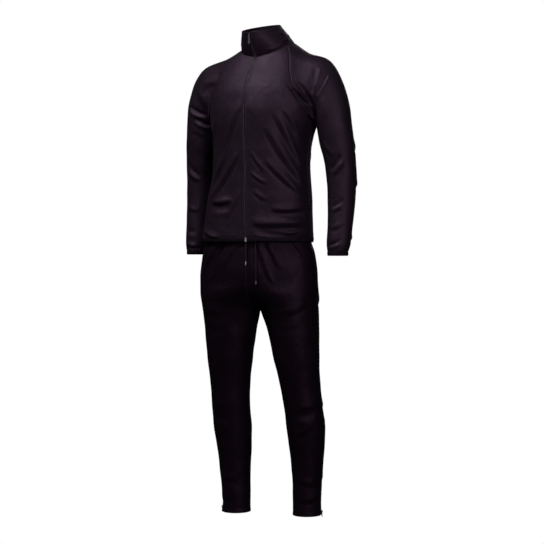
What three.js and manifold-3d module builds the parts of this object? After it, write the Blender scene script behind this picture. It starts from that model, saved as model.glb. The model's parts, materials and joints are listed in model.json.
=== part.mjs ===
// A men's tracksuit, size M, standing as it is worn: a raglan jacket with a stand collar and a full
// front zip, and slim trousers with a drawstring and ankle zips. The cloth is hollow, open at the
// neck, cuffs and ankles. Millimetres, +Z up; the front faces -Y and the wearer's left side is +X.
// The origin is level with the sides of the neck, on the middle line, where the shoulders carry it.
import * as THREE from "three";
import { mergeVertices } from "three/addons/utils/BufferGeometryUtils.js";
import Module from "manifold-3d";

const wasm = await Module();
wasm.setup();

// Cloth and seams
const WALL = 1.6; // knitted cloth, with its seam allowances
const BAND_WALL = 2.4; // folded elastic binding
const WAIST_WALL = 3; // waistband with the elastic in it
const SEAM = 0.3; // space between two pieces at a seam

// Heights
const HEM_SEAM = -596;
const HEM_EDGE = -608;
const UNDERARM = -240;
const CUFF_SEAM = -632;
const CUFF_EDGE = -644;
const WAIST_TOP = -520;
const WAIST_SEAM = -558;
const CROTCH = -808;
const ANKLE_HEM = -1453;
const ANKLE_ZIP_TOP = -1352;

// Where the raglan seams meet the neck seam, in degrees from the middle of the front and of the back
const FRONT_NECK = 59;
const BACK_NECK = 60;

// Body of the jacket at each height: centre, half width, the places of front and back, and the turn
// of the hips to the wearer's left in degrees.
const TORSO = [
  { z: 26, x: 16, y: 46, half: 58, front: -20, back: 94, turn: 0 },
  { z: 0, x: 15, y: 42, half: 80, front: -37, back: 102, turn: 0 },
  { z: -36, x: 9, y: 40, half: 133, front: -54, back: 109, turn: 0 },
  { z: -89, x: 2, y: 36, half: 165, front: -82, back: 117, turn: 0 },
  { z: -142, x: 0, y: 32, half: 176, front: -105, back: 121, turn: 0 },
  { z: -197, x: 0, y: 28, half: 178, front: -117, back: 120, turn: 0 },
  { z: -240, x: 0, y: 25, half: 173, front: -118, back: 115, turn: 0 },
  { z: -280, x: -0.5, y: 18, half: 162, front: -116, back: 108, turn: 0 },
  { z: -347, x: -1, y: 5, half: 156.5, front: -113, back: 102, turn: 1 },
  { z: -409, x: -2, y: 2, half: 158.5, front: -112, back: 105, turn: 2 },
  { z: -467, x: -7, y: 0, half: 166.5, front: -113, back: 110, turn: 4 },
  { z: -557, x: -13, y: 0, half: 172, front: -117, back: 115, turn: 8 },
  { z: -595, x: -14, y: 0, half: 175, front: -118, back: 117, turn: 10 },
  { z: -608, x: -14, y: 0, half: 173, front: -117, back: 116, turn: 10 },
];
const TORSO_SQUARENESS = 2.3; // exponent of the rounded cross-section, 2 for an ellipse

// The largest folds, as ridges (troughs under 0) from one place to another: degrees round the body
// and height at each end, how far the middle bows downwards, half width and height
const TORSO_FOLDS = [
  { from: 29, z: -258, to: 80, end: -440, bow: 6, wide: 14, high: 6 },
  { from: 37, z: -218, to: 78, end: -382, bow: 4, wide: 13, high: 5 },
  { from: 32, z: -360, to: 74, end: -464, bow: 4, wide: 13, high: 5 },
  { from: 38, z: -509, to: 78, end: -504, bow: 4, wide: 13, high: 5 },
  { from: 36, z: -526, to: 78, end: -524, bow: 4, wide: 11, high: -4 },
  { from: 10, z: -549, to: 80, end: -550, bow: 4, wide: 14, high: 6 },
  { from: 12, z: -570, to: 84, end: -602, bow: 4, wide: 11, high: -5 },
  { from: -5, z: -182, to: -37, end: -345, bow: 6, wide: 14, high: 5 },
  { from: -32, z: -332, to: -61, end: -428, bow: 4, wide: 13, high: 5 },
  { from: -12, z: -336, to: -63, end: -486, bow: 6, wide: 14, high: 6 },
  { from: -58, z: -485, to: -20, end: -480, bow: 3, wide: 13, high: 5 },
  { from: -57, z: -502, to: -20, end: -500, bow: 3, wide: 11, high: -4 },
  { from: -70, z: -566, to: -38, end: -601, bow: 3, wide: 12, high: 5 },
];
const TORSO_DEGREE = 2.6; // millimetres to a degree round the body

// Folds of the wearer's left and right leg, and of both sleeves, whose degrees start at the inner side
const LEG_FOLDS = {
  left: [
    { from: 20, z: -596, to: 32, end: -690, bow: 4, wide: 12, high: 5 },
    { from: 11, z: -606, to: 23, end: -738, bow: 4, wide: 12, high: 4 },
    { from: 0, z: -1110, to: 70, end: -1102, bow: 4, wide: 12, high: 3 },
    { from: -16, z: -1138, to: 56, end: -1130, bow: 4, wide: 12, high: -3 },
  ],
  right: [
    { from: 27, z: -596, to: 46, end: -716, bow: 4, wide: 12, high: -5 },
    { from: 37, z: -602, to: 58, end: -700, bow: 4, wide: 12, high: 4 },
  ],
};
const LEG_DEGREE = 2.6;
const SLEEVE_FOLDS = [
  { from: 10, z: -318, to: 110, end: -352, bow: 5, wide: 12, high: -4 },
  { from: 10, z: -366, to: 100, end: -388, bow: 4, wide: 12, high: 3.5 },
  { from: 20, z: -486, to: 150, end: -500, bow: 5, wide: 12, high: 3 },
  { from: 10, z: -606, to: 170, end: -590, bow: 4, wide: 12, high: 3 },
];
const SLEEVE_DEGREE = 0.8;

// Raglan seams: degrees from the middle of the front, and from the middle of the back
const RAGLAN_FRONT = [
  { z: -4, angle: 59 },
  { z: -36, angle: 56 },
  { z: -89, angle: 54 },
  { z: -142, angle: 56 },
  { z: -181, angle: 61 },
  { z: -217, angle: 72 },
  { z: -240, angle: 90 },
];
const RAGLAN_BACK = [
  { z: 14, angle: 60 },
  { z: -60, angle: 55 },
  { z: -130, angle: 57 },
  { z: -185, angle: 64 },
  { z: -220, angle: 75 },
  { z: -240, angle: 90 },
];
// Height of the neck seam round the neck
const NECK = [
  { angle: 0, z: -41 },
  { angle: 30, z: -28 },
  { angle: 59, z: -4 },
  { angle: 90, z: 7 },
  { angle: 120, z: 14 },
  { angle: 180, z: 20 },
];

// Stand collar: its upper edge is a level oval tipped forward
const COLLAR = { half: 52, deep: 79, y: -6, front: 33, back: 76, bulge: 2.5 };

// Sleeve sections from the shoulder to the cuff: centre, tip of the section's plane from level,
// half size along that plane and half size front to back
const SLEEVE = [
  { x: 198, y: 36, z: -150, tip: 78, tall: 104, deep: 63 },
  { x: 225, y: 38, z: -213, tip: 56, tall: 80, deep: 58 },
  { x: 235, y: 42, z: -290, tip: 22, tall: 56, deep: 53 },
  { x: 243.5, y: 47, z: -350, tip: 4, tall: 49.5, deep: 49 },
  { x: 248.5, y: 51, z: -410, tip: 0, tall: 46.5, deep: 47 },
  { x: 250, y: 47, z: -470, tip: 0, tall: 42.5, deep: 44 },
  { x: 251, y: 37, z: -550, tip: 0, tall: 38.5, deep: 40 },
  { x: 250, y: 27, z: -610, tip: 0, tall: 36, deep: 37 },
  { x: 249, y: 23, z: -632, tip: 0, tall: 31.5, deep: 33 },
];
const SHOULDER_LIFT = { left: -6, right: -10 }; // of the top of a sleeve, above the drafted height
const SHOULDER_REACH = { left: -5, right: 9 }; // outwards
const NECK_LIFT = { left: -7, right: -3 }; // beside the neck
const CUFF_DROP = { left: -7, right: 0 }; // the wearer's left sleeve hangs a little lower
const UNDERARM_OUT = 9; // a sleeve leaves the body outwards under the arm

// Trousers at each height: the middle line, the outer and inner sides of a leg measured from it, the
// depth of front and back, and the turn of the hips. An inner side under 0 is cut off by the rise.
const TROUSERS = [
  { z: -520, x: -12, y: 0, outer: 163, inner: -163, front: 100, back: 106, turn: 9 },
  { z: -558, x: -13, y: 0, outer: 166, inner: -166, front: 103, back: 108, turn: 9 },
  { z: -600, x: -14, y: 0, outer: 168, inner: -168, front: 105, back: 112, turn: 10 },
  { z: -645, x: -12.5, y: 0, outer: 181, inner: -181, front: 110, back: 119, turn: 10 },
  { z: -700, x: -12.5, y: 2, outer: 188, inner: -188, front: 114, back: 124, turn: 10 },
  { z: -735, x: -13.5, y: 4, outer: 189, inner: -160, front: 113, back: 124, turn: 10 },
  { z: -770, x: -14, y: 8, outer: 188, inner: -62, front: 109, back: 118, turn: 10 },
  { z: -795, x: -13.5, y: 11, outer: 186.5, inner: -16, front: 102, back: 106, turn: 10 },
  { z: -808, x: -13, y: 12, outer: 186, inner: 0, front: 98, back: 100, turn: 10 },
  { z: -840, x: -11, y: 14, outer: 184.5, inner: 11, front: 92, back: 94, turn: 10 },
  { z: -892, x: -7.5, y: 15, outer: 182, inner: 24.5, front: 85, back: 86, turn: 10 },
  { z: -966, x: -5.5, y: 18, outer: 179, inner: 37.5, front: 77, back: 77, turn: 10 },
  { z: -1041, x: -3.5, y: 25, outer: 177, inner: 50, front: 68, back: 69, turn: 10 },
  { z: -1115, x: 1, y: 31, outer: 177.5, inner: 58.5, front: 63, back: 63, turn: 10 },
  { z: -1190, x: 3, y: 42, outer: 180, inner: 61, front: 61, back: 66, turn: 10 },
  { z: -1264, x: 4, y: 49, outer: 172.5, inner: 65.5, front: 56, back: 60, turn: 10 },
  { z: -1339, x: 5, y: 51, outer: 164.5, inner: 71, front: 51, back: 53, turn: 10 },
  { z: -1413, x: 6, y: 52, outer: 160, inner: 71, front: 48, back: 48, turn: 10 },
  { z: -1453, x: 6, y: 52, outer: 160, inner: 71, front: 48, back: 48, turn: 10 },
];

// Rows and columns of the cloth's faces
const ROWS_BODY = 22; // hem seam to underarm
const ROWS_YOKE = 10; // underarm to neck
const COLUMNS_FRONT = 14;
const COLUMNS_BACK = 14;
const COLUMNS_NECK = 4; // of a sleeve, along the neck seam
const ROWS_SLEEVE = 19;
const ROWS_COLLAR = 4;
const COLUMNS_TROUSERS = 7;

// Zips
const CHAIN_HALF = 2.6;
const CHAIN_SPACE = 3.0; // from the middle of a zip to the cloth beside it
const CHAIN_OUT = 0.4;
const TAPE_HALF = 8;
const TAPE = 0.8;
const TAPE_SPACE = 0.9; // between the cloth and the tape behind it

const CLOTH = { color: 0x1d181d, roughness: 0.75 };
const TROUSER_CLOTH = { color: 0x171317, roughness: 0.8 };
const TRIM = { color: 0x141114, roughness: 0.85 };
const METAL = { color: 0x8d8d90, roughness: 0.35, metalness: 0.9 };

const radians = THREE.MathUtils.degToRad;

// A smooth curve through one column of a table
function curve(table, key, along = "z") {
  const rows = [...table].sort((a, b) => a[along] - b[along]);
  const slope = rows.map((_, i) => {
    const a = rows[Math.max(i - 1, 0)];
    const b = rows[Math.min(i + 1, rows.length - 1)];
    return (b[key] - a[key]) / (b[along] - a[along]);
  });
  return (at) => {
    let i = 0;
    while (i < rows.length - 2 && at > rows[i + 1][along]) i++;
    const span = rows[i + 1][along] - rows[i][along];
    const t = THREE.MathUtils.clamp((at - rows[i][along]) / span, 0, 1);
    const rise = t * t * (3 - 2 * t);
    return (
      rows[i][key] * (1 - rise) +
      rows[i + 1][key] * rise +
      span * (slope[i] * t * (1 - t) ** 2 - slope[i + 1] * t * t * (1 - t))
    );
  };
}

// All columns of a table as curves
function curves(table, along = "z") {
  const keys = Object.keys(table[0]).filter((key) => key !== along);
  const each = Object.fromEntries(keys.map((key) => [key, curve(table, key, along)]));
  return (at) => Object.fromEntries(keys.map((key) => [key, each[key](at)]));
}

// How far the cloth stands out at a place, of all folds in a list
function foldHeight(folds, angle, z, degree) {
  let sum = 0;
  for (const { from, z: start, to, end, bow, wide, high } of folds) {
    const across = (to - from) * degree;
    const long = Math.hypot(across, end - start);
    const [u, v] = [(angle - from) * degree, z - start];
    const t = THREE.MathUtils.clamp((u * across + v * (end - start)) / long ** 2, 0, 1);
    const off = Math.hypot(u - t * across, v - t * (end - start) + bow * Math.sin(Math.PI * t));
    sum += high * Math.sin(Math.PI * t) * Math.exp(-((off / wide) ** 2));
  }
  return sum;
}

const torsoAt = curves(TORSO);
const trousersAt = curves(TROUSERS);
const raglanFront = curve(RAGLAN_FRONT, "angle");
const raglanBack = curve(RAGLAN_BACK, "angle");
const neckHeight = curve(NECK, "z", "angle");

// A point given from the middle of a row, turned and moved to its place
function placed(row, across, along, z) {
  const turn = radians(row.turn);
  return new THREE.Vector3(
    row.x + across * Math.cos(turn) - along * Math.sin(turn),
    row.y + across * Math.sin(turn) + along * Math.cos(turn),
    z,
  );
}

// The jacket's body: degrees from the middle of the front to the wearer's left, and height
function torso(angle, z) {
  const row = torsoAt(z);
  const s = Math.sin(radians(angle));
  const c = Math.cos(radians(angle));
  const deep = c > 0 ? row.y - row.front : row.back - row.y;
  const n = TORSO_SQUARENESS;
  const turned = angle > 180 ? angle - 360 : angle;
  const r =
    (Math.abs(s / row.half) ** n + Math.abs(c / deep) ** n) ** (-1 / n) +
    foldHeight(TORSO_FOLDS, turned, z, TORSO_DEGREE);
  return placed(row, r * s, -r * c, z);
}

// A leg of the trousers: degrees from the middle of the leg's front to its outer side, and height
function leg(side, angle, z) {
  const row = trousersAt(z);
  const middle = (row.outer + row.inner) / 2;
  const half = (row.outer - row.inner) / 2;
  const c = Math.cos(radians(angle));
  const out = foldHeight(LEG_FOLDS[side > 0 ? "left" : "right"], angle, z, LEG_DEGREE);
  const across = middle + (half + out) * Math.sin(radians(angle));
  const deep = (c > 0 ? row.front : row.back) + out;
  return placed(row, side * Math.max(across, SEAM / 2), -c * deep, z);
}

// Where a leg's front meets the middle line, or the inner side below the crotch
function innerAngle(z) {
  const row = trousersAt(z);
  const middle = (row.outer + row.inner) / 2;
  const half = (row.outer - row.inner) / 2;
  return -THREE.MathUtils.radToDeg(Math.asin(Math.min(1, middle / half)));
}

// The outward direction of a surface given as a function of two numbers
function outward(surface, u, v, mirrored = false) {
  const across = surface(u + 0.5, v).sub(surface(u - 0.5, v));
  const up = surface(u, v + 1).sub(surface(u, v - 1));
  return across.cross(up).normalize().multiplyScalar(mirrored ? -1 : 1);
}

const grid = (rows, columns, point) =>
  Array.from({ length: rows + 1 }, (_, i) =>
    Array.from({ length: columns + 1 }, (_, j) => point(i, j)),
  );

function solid(points, faces) {
  const geometry = new THREE.BufferGeometry().setFromPoints(points);
  let volume = 0;
  for (let i = 0; i < faces.length; i += 3) {
    const [a, b, c] = [points[faces[i]], points[faces[i + 1]], points[faces[i + 2]]];
    volume += a.dot(b.clone().cross(c));
  }
  if (volume < 0) faces.reverse();
  geometry.setIndex(faces);
  return geometry;
}

// A wall of cloth between an outer and an inner grid of points; a tube's last column joins its first
function wall(outer, inner, tube = false) {
  const columns = outer[0].length;
  const points = [...outer.flat(), ...inner.flat()];
  const at = (layer, i, j) => layer * outer.length * columns + i * columns + (j % columns);
  const faces = [];
  const quad = (a, b, c, d) => {
    const across = points[a].distanceTo(points[c]) < points[b].distanceTo(points[d]);
    faces.push(...(across ? [a, b, c, a, c, d] : [a, b, d, b, c, d]));
  };
  const last = outer.length - 1;
  const spans = tube ? columns : columns - 1;
  for (let j = 0; j < spans; j++) {
    for (let i = 0; i < last; i++) {
      quad(at(0, i, j), at(0, i, j + 1), at(0, i + 1, j + 1), at(0, i + 1, j));
      quad(at(1, i, j), at(1, i + 1, j), at(1, i + 1, j + 1), at(1, i, j + 1));
    }
    quad(at(0, 0, j), at(1, 0, j), at(1, 0, j + 1), at(0, 0, j + 1));
    quad(at(0, last, j), at(0, last, j + 1), at(1, last, j + 1), at(1, last, j));
  }
  for (let i = 0; i < last && !tube; i++) {
    const j = columns - 1;
    quad(at(0, i, 0), at(0, i + 1, 0), at(1, i + 1, 0), at(1, i, 0));
    quad(at(0, i, j), at(1, i, j), at(1, i + 1, j), at(0, i + 1, j));
  }
  return solid(points, faces);
}

// Edge points drawn back from a seam by half its space
function trimmed(points, sides) {
  const last = points.length - 1;
  const end = points[0].length - 1;
  const pull = (p, q) => p.clone().addScaledVector(q.clone().sub(p).normalize(), SEAM / 2);
  const out = points.map((row) => row.map((p) => p.clone()));
  for (let i = 0; i <= last; i++) {
    if (sides.start) out[i][0] = pull(out[i][0], points[i][1]);
    if (sides.end) out[i][end] = pull(out[i][end], points[i][end - 1]);
  }
  for (let j = 0; j <= end; j++) {
    if (sides.bottom) out[0][j] = pull(out[0][j], points[1][j]);
    if (sides.top) out[last][j] = pull(out[last][j], points[last - 1][j]);
  }
  return out;
}

const inward = (points, normals, by) =>
  points.map((row, i) => row.map((p, j) => p.clone().addScaledVector(normals[i][j], -by)));

// Heights of the rows of the jacket's body, hem seam first, and how far up the yoke each row is
const bodyRows = Array.from({ length: ROWS_BODY }, (_, i) => ({
  z: THREE.MathUtils.lerp(HEM_SEAM, UNDERARM, i / ROWS_BODY),
  yoke: 0,
}));
const yokeRows = Array.from({ length: ROWS_YOKE + 1 }, (_, i) => ({
  z: UNDERARM,
  yoke: (i / ROWS_YOKE) ** 1.25,
}));
const jacketRows = [...bodyRows, ...yokeRows];

// A height on the yoke: rows fan out from level at the underarm to the neck seam
const yokeHeight = (yoke, neckAngle) => UNDERARM + yoke * (neckHeight(neckAngle) - UNDERARM);

const chainAngle = (z) => {
  const row = torsoAt(z);
  return THREE.MathUtils.radToDeg(Math.atan(CHAIN_SPACE / (row.y - row.front)));
};

// The angle and height of a point of a front, from the zip (0) to the side or raglan seam (1)
function frontPlace(row, across) {
  if (!row.yoke) return [THREE.MathUtils.lerp(chainAngle(row.z), 90, across), row.z];
  const seamZ = yokeHeight(row.yoke, FRONT_NECK);
  const start = chainAngle(Math.min(yokeHeight(row.yoke, 0), neckHeight(0)));
  const angle = THREE.MathUtils.lerp(start, raglanFront(seamZ), across);
  return [angle, yokeHeight(row.yoke, THREE.MathUtils.lerp(start, FRONT_NECK, across))];
}

// The same for the back, from the wearer's left seam (-1) through the middle (0) to the right (1)
function backPlace(row, across) {
  if (!row.yoke) return [180 + 90 * across, row.z];
  const seamZ = yokeHeight(row.yoke, 180 - BACK_NECK);
  return [180 + raglanBack(seamZ) * across, yokeHeight(row.yoke, 180 - BACK_NECK * Math.abs(across))];
}

function jacketPanel(columns, place, sides) {
  const places = grid(jacketRows.length - 1, columns, (i, j) => place(jacketRows[i], j / columns));
  const points = places.map((row) => row.map(([angle, z]) => torso(angle, z)));
  const normals = places.map((row) => row.map(([angle, z]) => outward(torso, angle, z)));
  const outer = trimmed(points, sides);
  return wall(outer, inward(outer, normals, WALL));
}

function jacketFront(side) {
  const sides = { start: side < 0, end: side > 0, bottom: true, top: true };
  return jacketPanel(
    COLUMNS_FRONT,
    (row, t) => {
      const [angle, z] = frontPlace(row, side > 0 ? t : 1 - t);
      return [side * angle, z];
    },
    sides,
  );
}

const jacketBack = () =>
  jacketPanel(COLUMNS_BACK, (row, t) => backPlace(row, 2 * t - 1), {
    start: true,
    end: true,
    bottom: true,
    top: true,
  });

// The loop of a sleeve's raglan seam on the jacket's body, from the underarm up the front, along the
// neck and down the back, each with its place round the sleeve (0 to 1)
function raglanLoop() {
  const loop = [];
  yokeRows.forEach((row, i) => {
    const z = yokeHeight(row.yoke, FRONT_NECK);
    loop.push({ angle: raglanFront(z), z, round: (0.4 * i) / ROWS_YOKE });
  });
  for (let i = 1; i < COLUMNS_NECK; i++) {
    const angle = THREE.MathUtils.lerp(FRONT_NECK, 180 - BACK_NECK, i / COLUMNS_NECK);
    loop.push({ angle, z: neckHeight(angle), round: 0.4 + (0.2 * i) / COLUMNS_NECK });
  }
  for (let i = ROWS_YOKE; i > 0; i--) {
    const z = yokeHeight(yokeRows[i].yoke, 180 - BACK_NECK);
    loop.push({ angle: 180 - raglanBack(z), z, round: 1 - (0.4 * i) / ROWS_YOKE });
  }
  return loop;
}

// A point of a sleeve's section: round 0 is the inner side, 0.25 the front, 0.5 the outer side
function sectionPoint(section, round, name) {
  const a = 2 * Math.PI * round;
  const tip = radians(section.tip);
  const tall = -Math.cos(a) * section.tall;
  const fade = THREE.MathUtils.smoothstep(section.z, -350, -150);
  const top = (1 - Math.cos(a)) / 2;
  const low = THREE.MathUtils.smoothstep(-section.z, 410, 610);
  return new THREE.Vector3(
    section.x + Math.cos(tip) * tall + SHOULDER_REACH[name] * fade * top,
    section.y - section.deep * Math.sin(a),
    section.z + Math.sin(tip) * tall + SHOULDER_LIFT[name] * fade * top + CUFF_DROP[name] * low,
  );
}

function sleeve(side) {
  const name = side > 0 ? "left" : "right";
  const loop = raglanLoop();
  const lines = loop.map(({ angle, z, round }) => {
    const sections = SLEEVE.map((row) => sectionPoint(row, round, name));
    for (const p of sections) p.x *= side;
    const seam = torso(side * angle, z);
    const normal = outward(torso, side * angle, z);
    const out = UNDERARM_OUT * Math.max(0, Math.cos(2 * Math.PI * round)) ** 2;
    const leaving = seam.clone().lerp(sections[0], 0.4).addScaledVector(normal, out);
    leaving.z += NECK_LIFT[name] * Math.max(0, -Math.cos(2 * Math.PI * round));
    return new THREE.CatmullRomCurve3([seam, leaving, ...sections], false, "centripetal");
  });
  const points = grid(ROWS_SLEEVE, loop.length - 1, (i, j) => lines[j].getPoint(1 - i / ROWS_SLEEVE));
  const normals = points.map((row, i) =>
    row.map((_, j) => {
      if (i === ROWS_SLEEVE) return outward(torso, side * loop[j].angle, loop[j].z);
      const up = points[i + 1][j].clone().sub(points[Math.max(i - 1, 0)][j]);
      const across = row[(j + 1) % row.length].clone().sub(row.at(j - 1));
      return across.cross(up).normalize().multiplyScalar(side);
    }),
  );
  points.forEach((row, i) =>
    row.forEach((p, j) => {
      const out = foldHeight(SLEEVE_FOLDS, 360 * loop[j].round, p.z, SLEEVE_DEGREE);
      p.addScaledVector(normals[i][j], out);
    }),
  );
  const outer = trimmed(points, { bottom: true, top: true });
  return wall(outer, inward(outer, normals, WALL), true);
}

// Angles round the neck of every column that meets the collar
function neckAngles() {
  const start = chainAngle(neckHeight(0));
  const front = Array.from({ length: COLUMNS_FRONT }, (_, j) =>
    THREE.MathUtils.lerp(start, FRONT_NECK, j / COLUMNS_FRONT),
  );
  const side = Array.from({ length: COLUMNS_NECK }, (_, j) =>
    THREE.MathUtils.lerp(FRONT_NECK, 180 - BACK_NECK, j / COLUMNS_NECK),
  );
  const back = Array.from({ length: COLUMNS_BACK / 2 }, (_, j) =>
    THREE.MathUtils.lerp(180 - BACK_NECK, 180, (2 * j) / COLUMNS_BACK),
  );
  const half = [...front, ...side, ...back];
  return [...half, 180, ...half.toReversed().map((angle) => -angle)];
}

// The direction round the collar's upper oval of a column that leaves the neck seam at an angle: the
// two edges at the zip stay a chain's space from the middle
function collarTurn(angle) {
  const start = chainAngle(neckHeight(0));
  const first = THREE.MathUtils.radToDeg(Math.asin(CHAIN_SPACE / COLLAR.half));
  const a = Math.abs(angle);
  const turned = a < start ? (a * first) / start : 180 - ((180 - a) / (180 - start)) * (180 - first);
  return Math.sign(angle) * radians(turned);
}

// The collar: degrees round the neck, to the wearer's left or under 0 to the right, and the share of
// its height
function collar(angle, up) {
  const base = torso(angle, neckHeight(Math.abs(angle)));
  const s = Math.sin(collarTurn(angle));
  const c = Math.cos(collarTurn(angle));
  const tilt = (COLLAR.front + COLLAR.back) / 2 - (c * (COLLAR.back - COLLAR.front)) / 2;
  const edge = new THREE.Vector3(COLLAR.half * s, COLLAR.y - COLLAR.deep * c, tilt);
  const out = COLLAR.bulge * Math.sin(Math.PI * up);
  return base.lerp(edge, up).add(new THREE.Vector3(s * out, -c * out, 0));
}

function collarOutward(angle, up) {
  const v = THREE.MathUtils.clamp(up, 0.1, 0.9);
  const across = collar(angle + 0.5, v).sub(collar(angle - 0.5, v));
  return across.cross(collar(angle, v + 0.1).sub(collar(angle, v - 0.1))).normalize();
}

function standCollar() {
  const angles = neckAngles();
  const points = grid(ROWS_COLLAR, angles.length - 1, (i, j) => collar(angles[j], i / ROWS_COLLAR));
  const normals = grid(ROWS_COLLAR, angles.length - 1, (i, j) =>
    collarOutward(Math.min(angles[j], 179.4), i / ROWS_COLLAR),
  );
  const outer = trimmed(points, { bottom: true });
  return wall(outer, inward(outer, normals, WALL));
}

// A band round the jacket or the trousers, from one height to another, stood out from the cloth
function band(surface, angles, bottom, top, thick, out, tube) {
  const heights = [bottom, top];
  const normals = heights.map((z) => angles.map((angle) => outward(surface, angle, z)));
  const points = heights.map((z) => angles.map((angle) => surface(angle, z)));
  const outer = inward(points, normals, -out);
  return wall(outer, inward(points, normals, thick - out), tube);
}

function hemBand() {
  const start = chainAngle(HEM_EDGE);
  const columns = 36;
  const angles = Array.from({ length: columns + 1 }, (_, j) =>
    THREE.MathUtils.lerp(start, 360 - start, j / columns),
  );
  return band(torso, angles, HEM_EDGE, HEM_SEAM - SEAM, BAND_WALL, 0.4, false);
}

function cuff(side) {
  const last = SLEEVE.at(-1);
  const count = 20;
  const ring = (radius, z) =>
    Array.from({ length: count }, (_, j) => {
      const a = (2 * Math.PI * j) / count;
      const wide = last.tall + radius;
      const deep = last.deep + radius;
      return new THREE.Vector3(side * (last.x + wide * Math.sin(a)), last.y - deep * Math.cos(a), z);
    });
  const drop = CUFF_DROP[side > 0 ? "left" : "right"];
  const heights = [CUFF_EDGE + drop, CUFF_SEAM - SEAM + drop];
  const outer = heights.map((z, i) => ring(i ? 0.2 : -0.8, z));
  const inner = heights.map((z, i) => ring((i ? 0.2 : -0.8) - BAND_WALL, z));
  return wall(outer, inner, true);
}

// Heights of the rows of the trousers at the outer and the inner seam, hem first. Near the crotch
// they fan out, so that the rise has as many rows as the side.
const RISE_TOP = -700;
const FORK_OUTER = -850; // the outer end of the row that meets the crotch
const THIGH_FOOT = -966;
const LEG_LEVELS = [ANKLE_HEM, -1420, -1387, ANKLE_ZIP_TOP, -1342, -1302, -1264, -1227, -1190, -1152,
  -1115, -1078, -1041, -1004, THIGH_FOOT];
const HIP_LEVELS = [RISE_TOP, -665, -632, -600, WAIST_SEAM - SEAM];
const RISE_ROWS = 8;
const THIGH_ROWS = 4;
const trouserRows = [
  ...LEG_LEVELS.map((z) => ({ outer: z, inner: z })),
  ...Array.from({ length: THIGH_ROWS }, (_, i) => (i + 1) / THIGH_ROWS).map((t) => ({
    outer: THREE.MathUtils.lerp(THIGH_FOOT, FORK_OUTER, t),
    inner: THREE.MathUtils.lerp(THIGH_FOOT, CROTCH, t),
  })),
  ...Array.from({ length: RISE_ROWS - 1 }, (_, i) => 1 - (i + 1) / RISE_ROWS).map((t) => ({
    outer: THREE.MathUtils.lerp(RISE_TOP, FORK_OUTER, t),
    inner: THREE.MathUtils.lerp(RISE_TOP, CROTCH, Math.sin((t * Math.PI) / 2)),
  })),
  ...HIP_LEVELS.map((z) => ({ outer: z, inner: z })),
];

const zipAngle = (z) => {
  const row = trousersAt(z);
  const space = THREE.MathUtils.smoothstep(-z, -ANKLE_ZIP_TOP - 10, -ANKLE_ZIP_TOP);
  return THREE.MathUtils.radToDeg((CHAIN_SPACE * space + (SEAM / 2) * (1 - space)) / row.front);
};

// A front or back panel of a leg, from the inner seam to the outer one
function trouserPanel(side, front) {
  const columns = COLUMNS_TROUSERS;
  const surface = (angle, z) => leg(side, angle, z);
  const places = grid(trouserRows.length - 1, columns, (i, j) => {
    const { outer, inner } = trouserRows[i];
    const z = THREE.MathUtils.lerp(inner, outer, j / columns);
    const t = THREE.MathUtils.lerp(innerAngle(inner), 90 - zipAngle(outer), j / columns);
    return [front ? t : 180 - t, z];
  });
  const normals = places.map((row) =>
    row.map(([angle, z]) => outward(surface, angle, z, side < 0)),
  );
  const points = places.map((row) => row.map(([angle, z]) => surface(angle, z)));
  for (const row of points) {
    const next = row[1].clone().sub(row[0]).normalize();
    row[0].addScaledVector(next, SEAM / 2);
  }
  return wall(points, inward(points, normals, WALL));
}

// The whole waist as one ring: degrees from the middle of the front
const waist = (angle, z) => {
  const row = trousersAt(z);
  const c = Math.cos(radians(angle));
  return placed(row, row.outer * Math.sin(radians(angle)), -c * (c > 0 ? row.front : row.back), z);
};

function waistband() {
  const columns = 32;
  const angles = Array.from({ length: columns }, (_, j) => (360 * j) / columns);
  return band(waist, angles, WAIST_SEAM, WAIST_TOP, WAIST_WALL, 0.4, true);
}

// A zip's strip: a chain between the cloth's edges, on a tape behind them. Each station gives the
// surface's point and outward direction at a distance across from the middle.
function zipStrip(stations) {
  const chain = CHAIN_OUT;
  const back = -(WALL + TAPE_SPACE);
  const profile = [
    [-TAPE_HALF, back - TAPE],
    [0, back - TAPE],
    [TAPE_HALF, back - TAPE],
    [TAPE_HALF, back],
    [CHAIN_HALF, back],
    [CHAIN_HALF, chain],
    [-CHAIN_HALF, chain],
    [-CHAIN_HALF, back],
    [-TAPE_HALF, back],
  ];
  const rings = stations.map((station) =>
    profile.map(([across, out]) => {
      const { point, normal } = station(across);
      return point.addScaledVector(normal, out);
    }),
  );
  const count = profile.length;
  const faces = [];
  for (let i = 0; i + 1 < rings.length; i++)
    for (let j = 0; j < count; j++) {
      const k = (j + 1) % count;
      const [a, b, c, d] = [i * count + j, i * count + k, (i + 1) * count + k, (i + 1) * count + j];
      faces.push(a, b, c, a, c, d);
    }
  const cap = THREE.ShapeUtils.triangulateShape(
    profile.map(([x, y]) => new THREE.Vector2(x, y)),
    [],
  );
  const top = (rings.length - 1) * count;
  for (const [a, b, c] of cap) {
    faces.push(a, c, b);
    faces.push(top + a, top + b, top + c);
  }
  return solid(rings.flat(), faces);
}

// The front zip: up the jacket's front and on up the collar
const ZIP_FOOT = HEM_SEAM + 1;
const ZIP_STEPS = 24;
const NECK_TURN = 0.9; // how far the strip keeps back where it turns at the neck seam
const COLLAR_ZIP_TOP = 0.96;

// The collar's point and outward direction at a distance across from the zip's middle
function collarFront(across, up) {
  const middle = collar(0, up).x;
  let angle = across;
  for (let i = 0; i < 8 && across; i++) angle *= across / (collar(angle, up).x - middle);
  return { point: collar(angle, up), normal: collarOutward(angle, up) };
}

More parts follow.
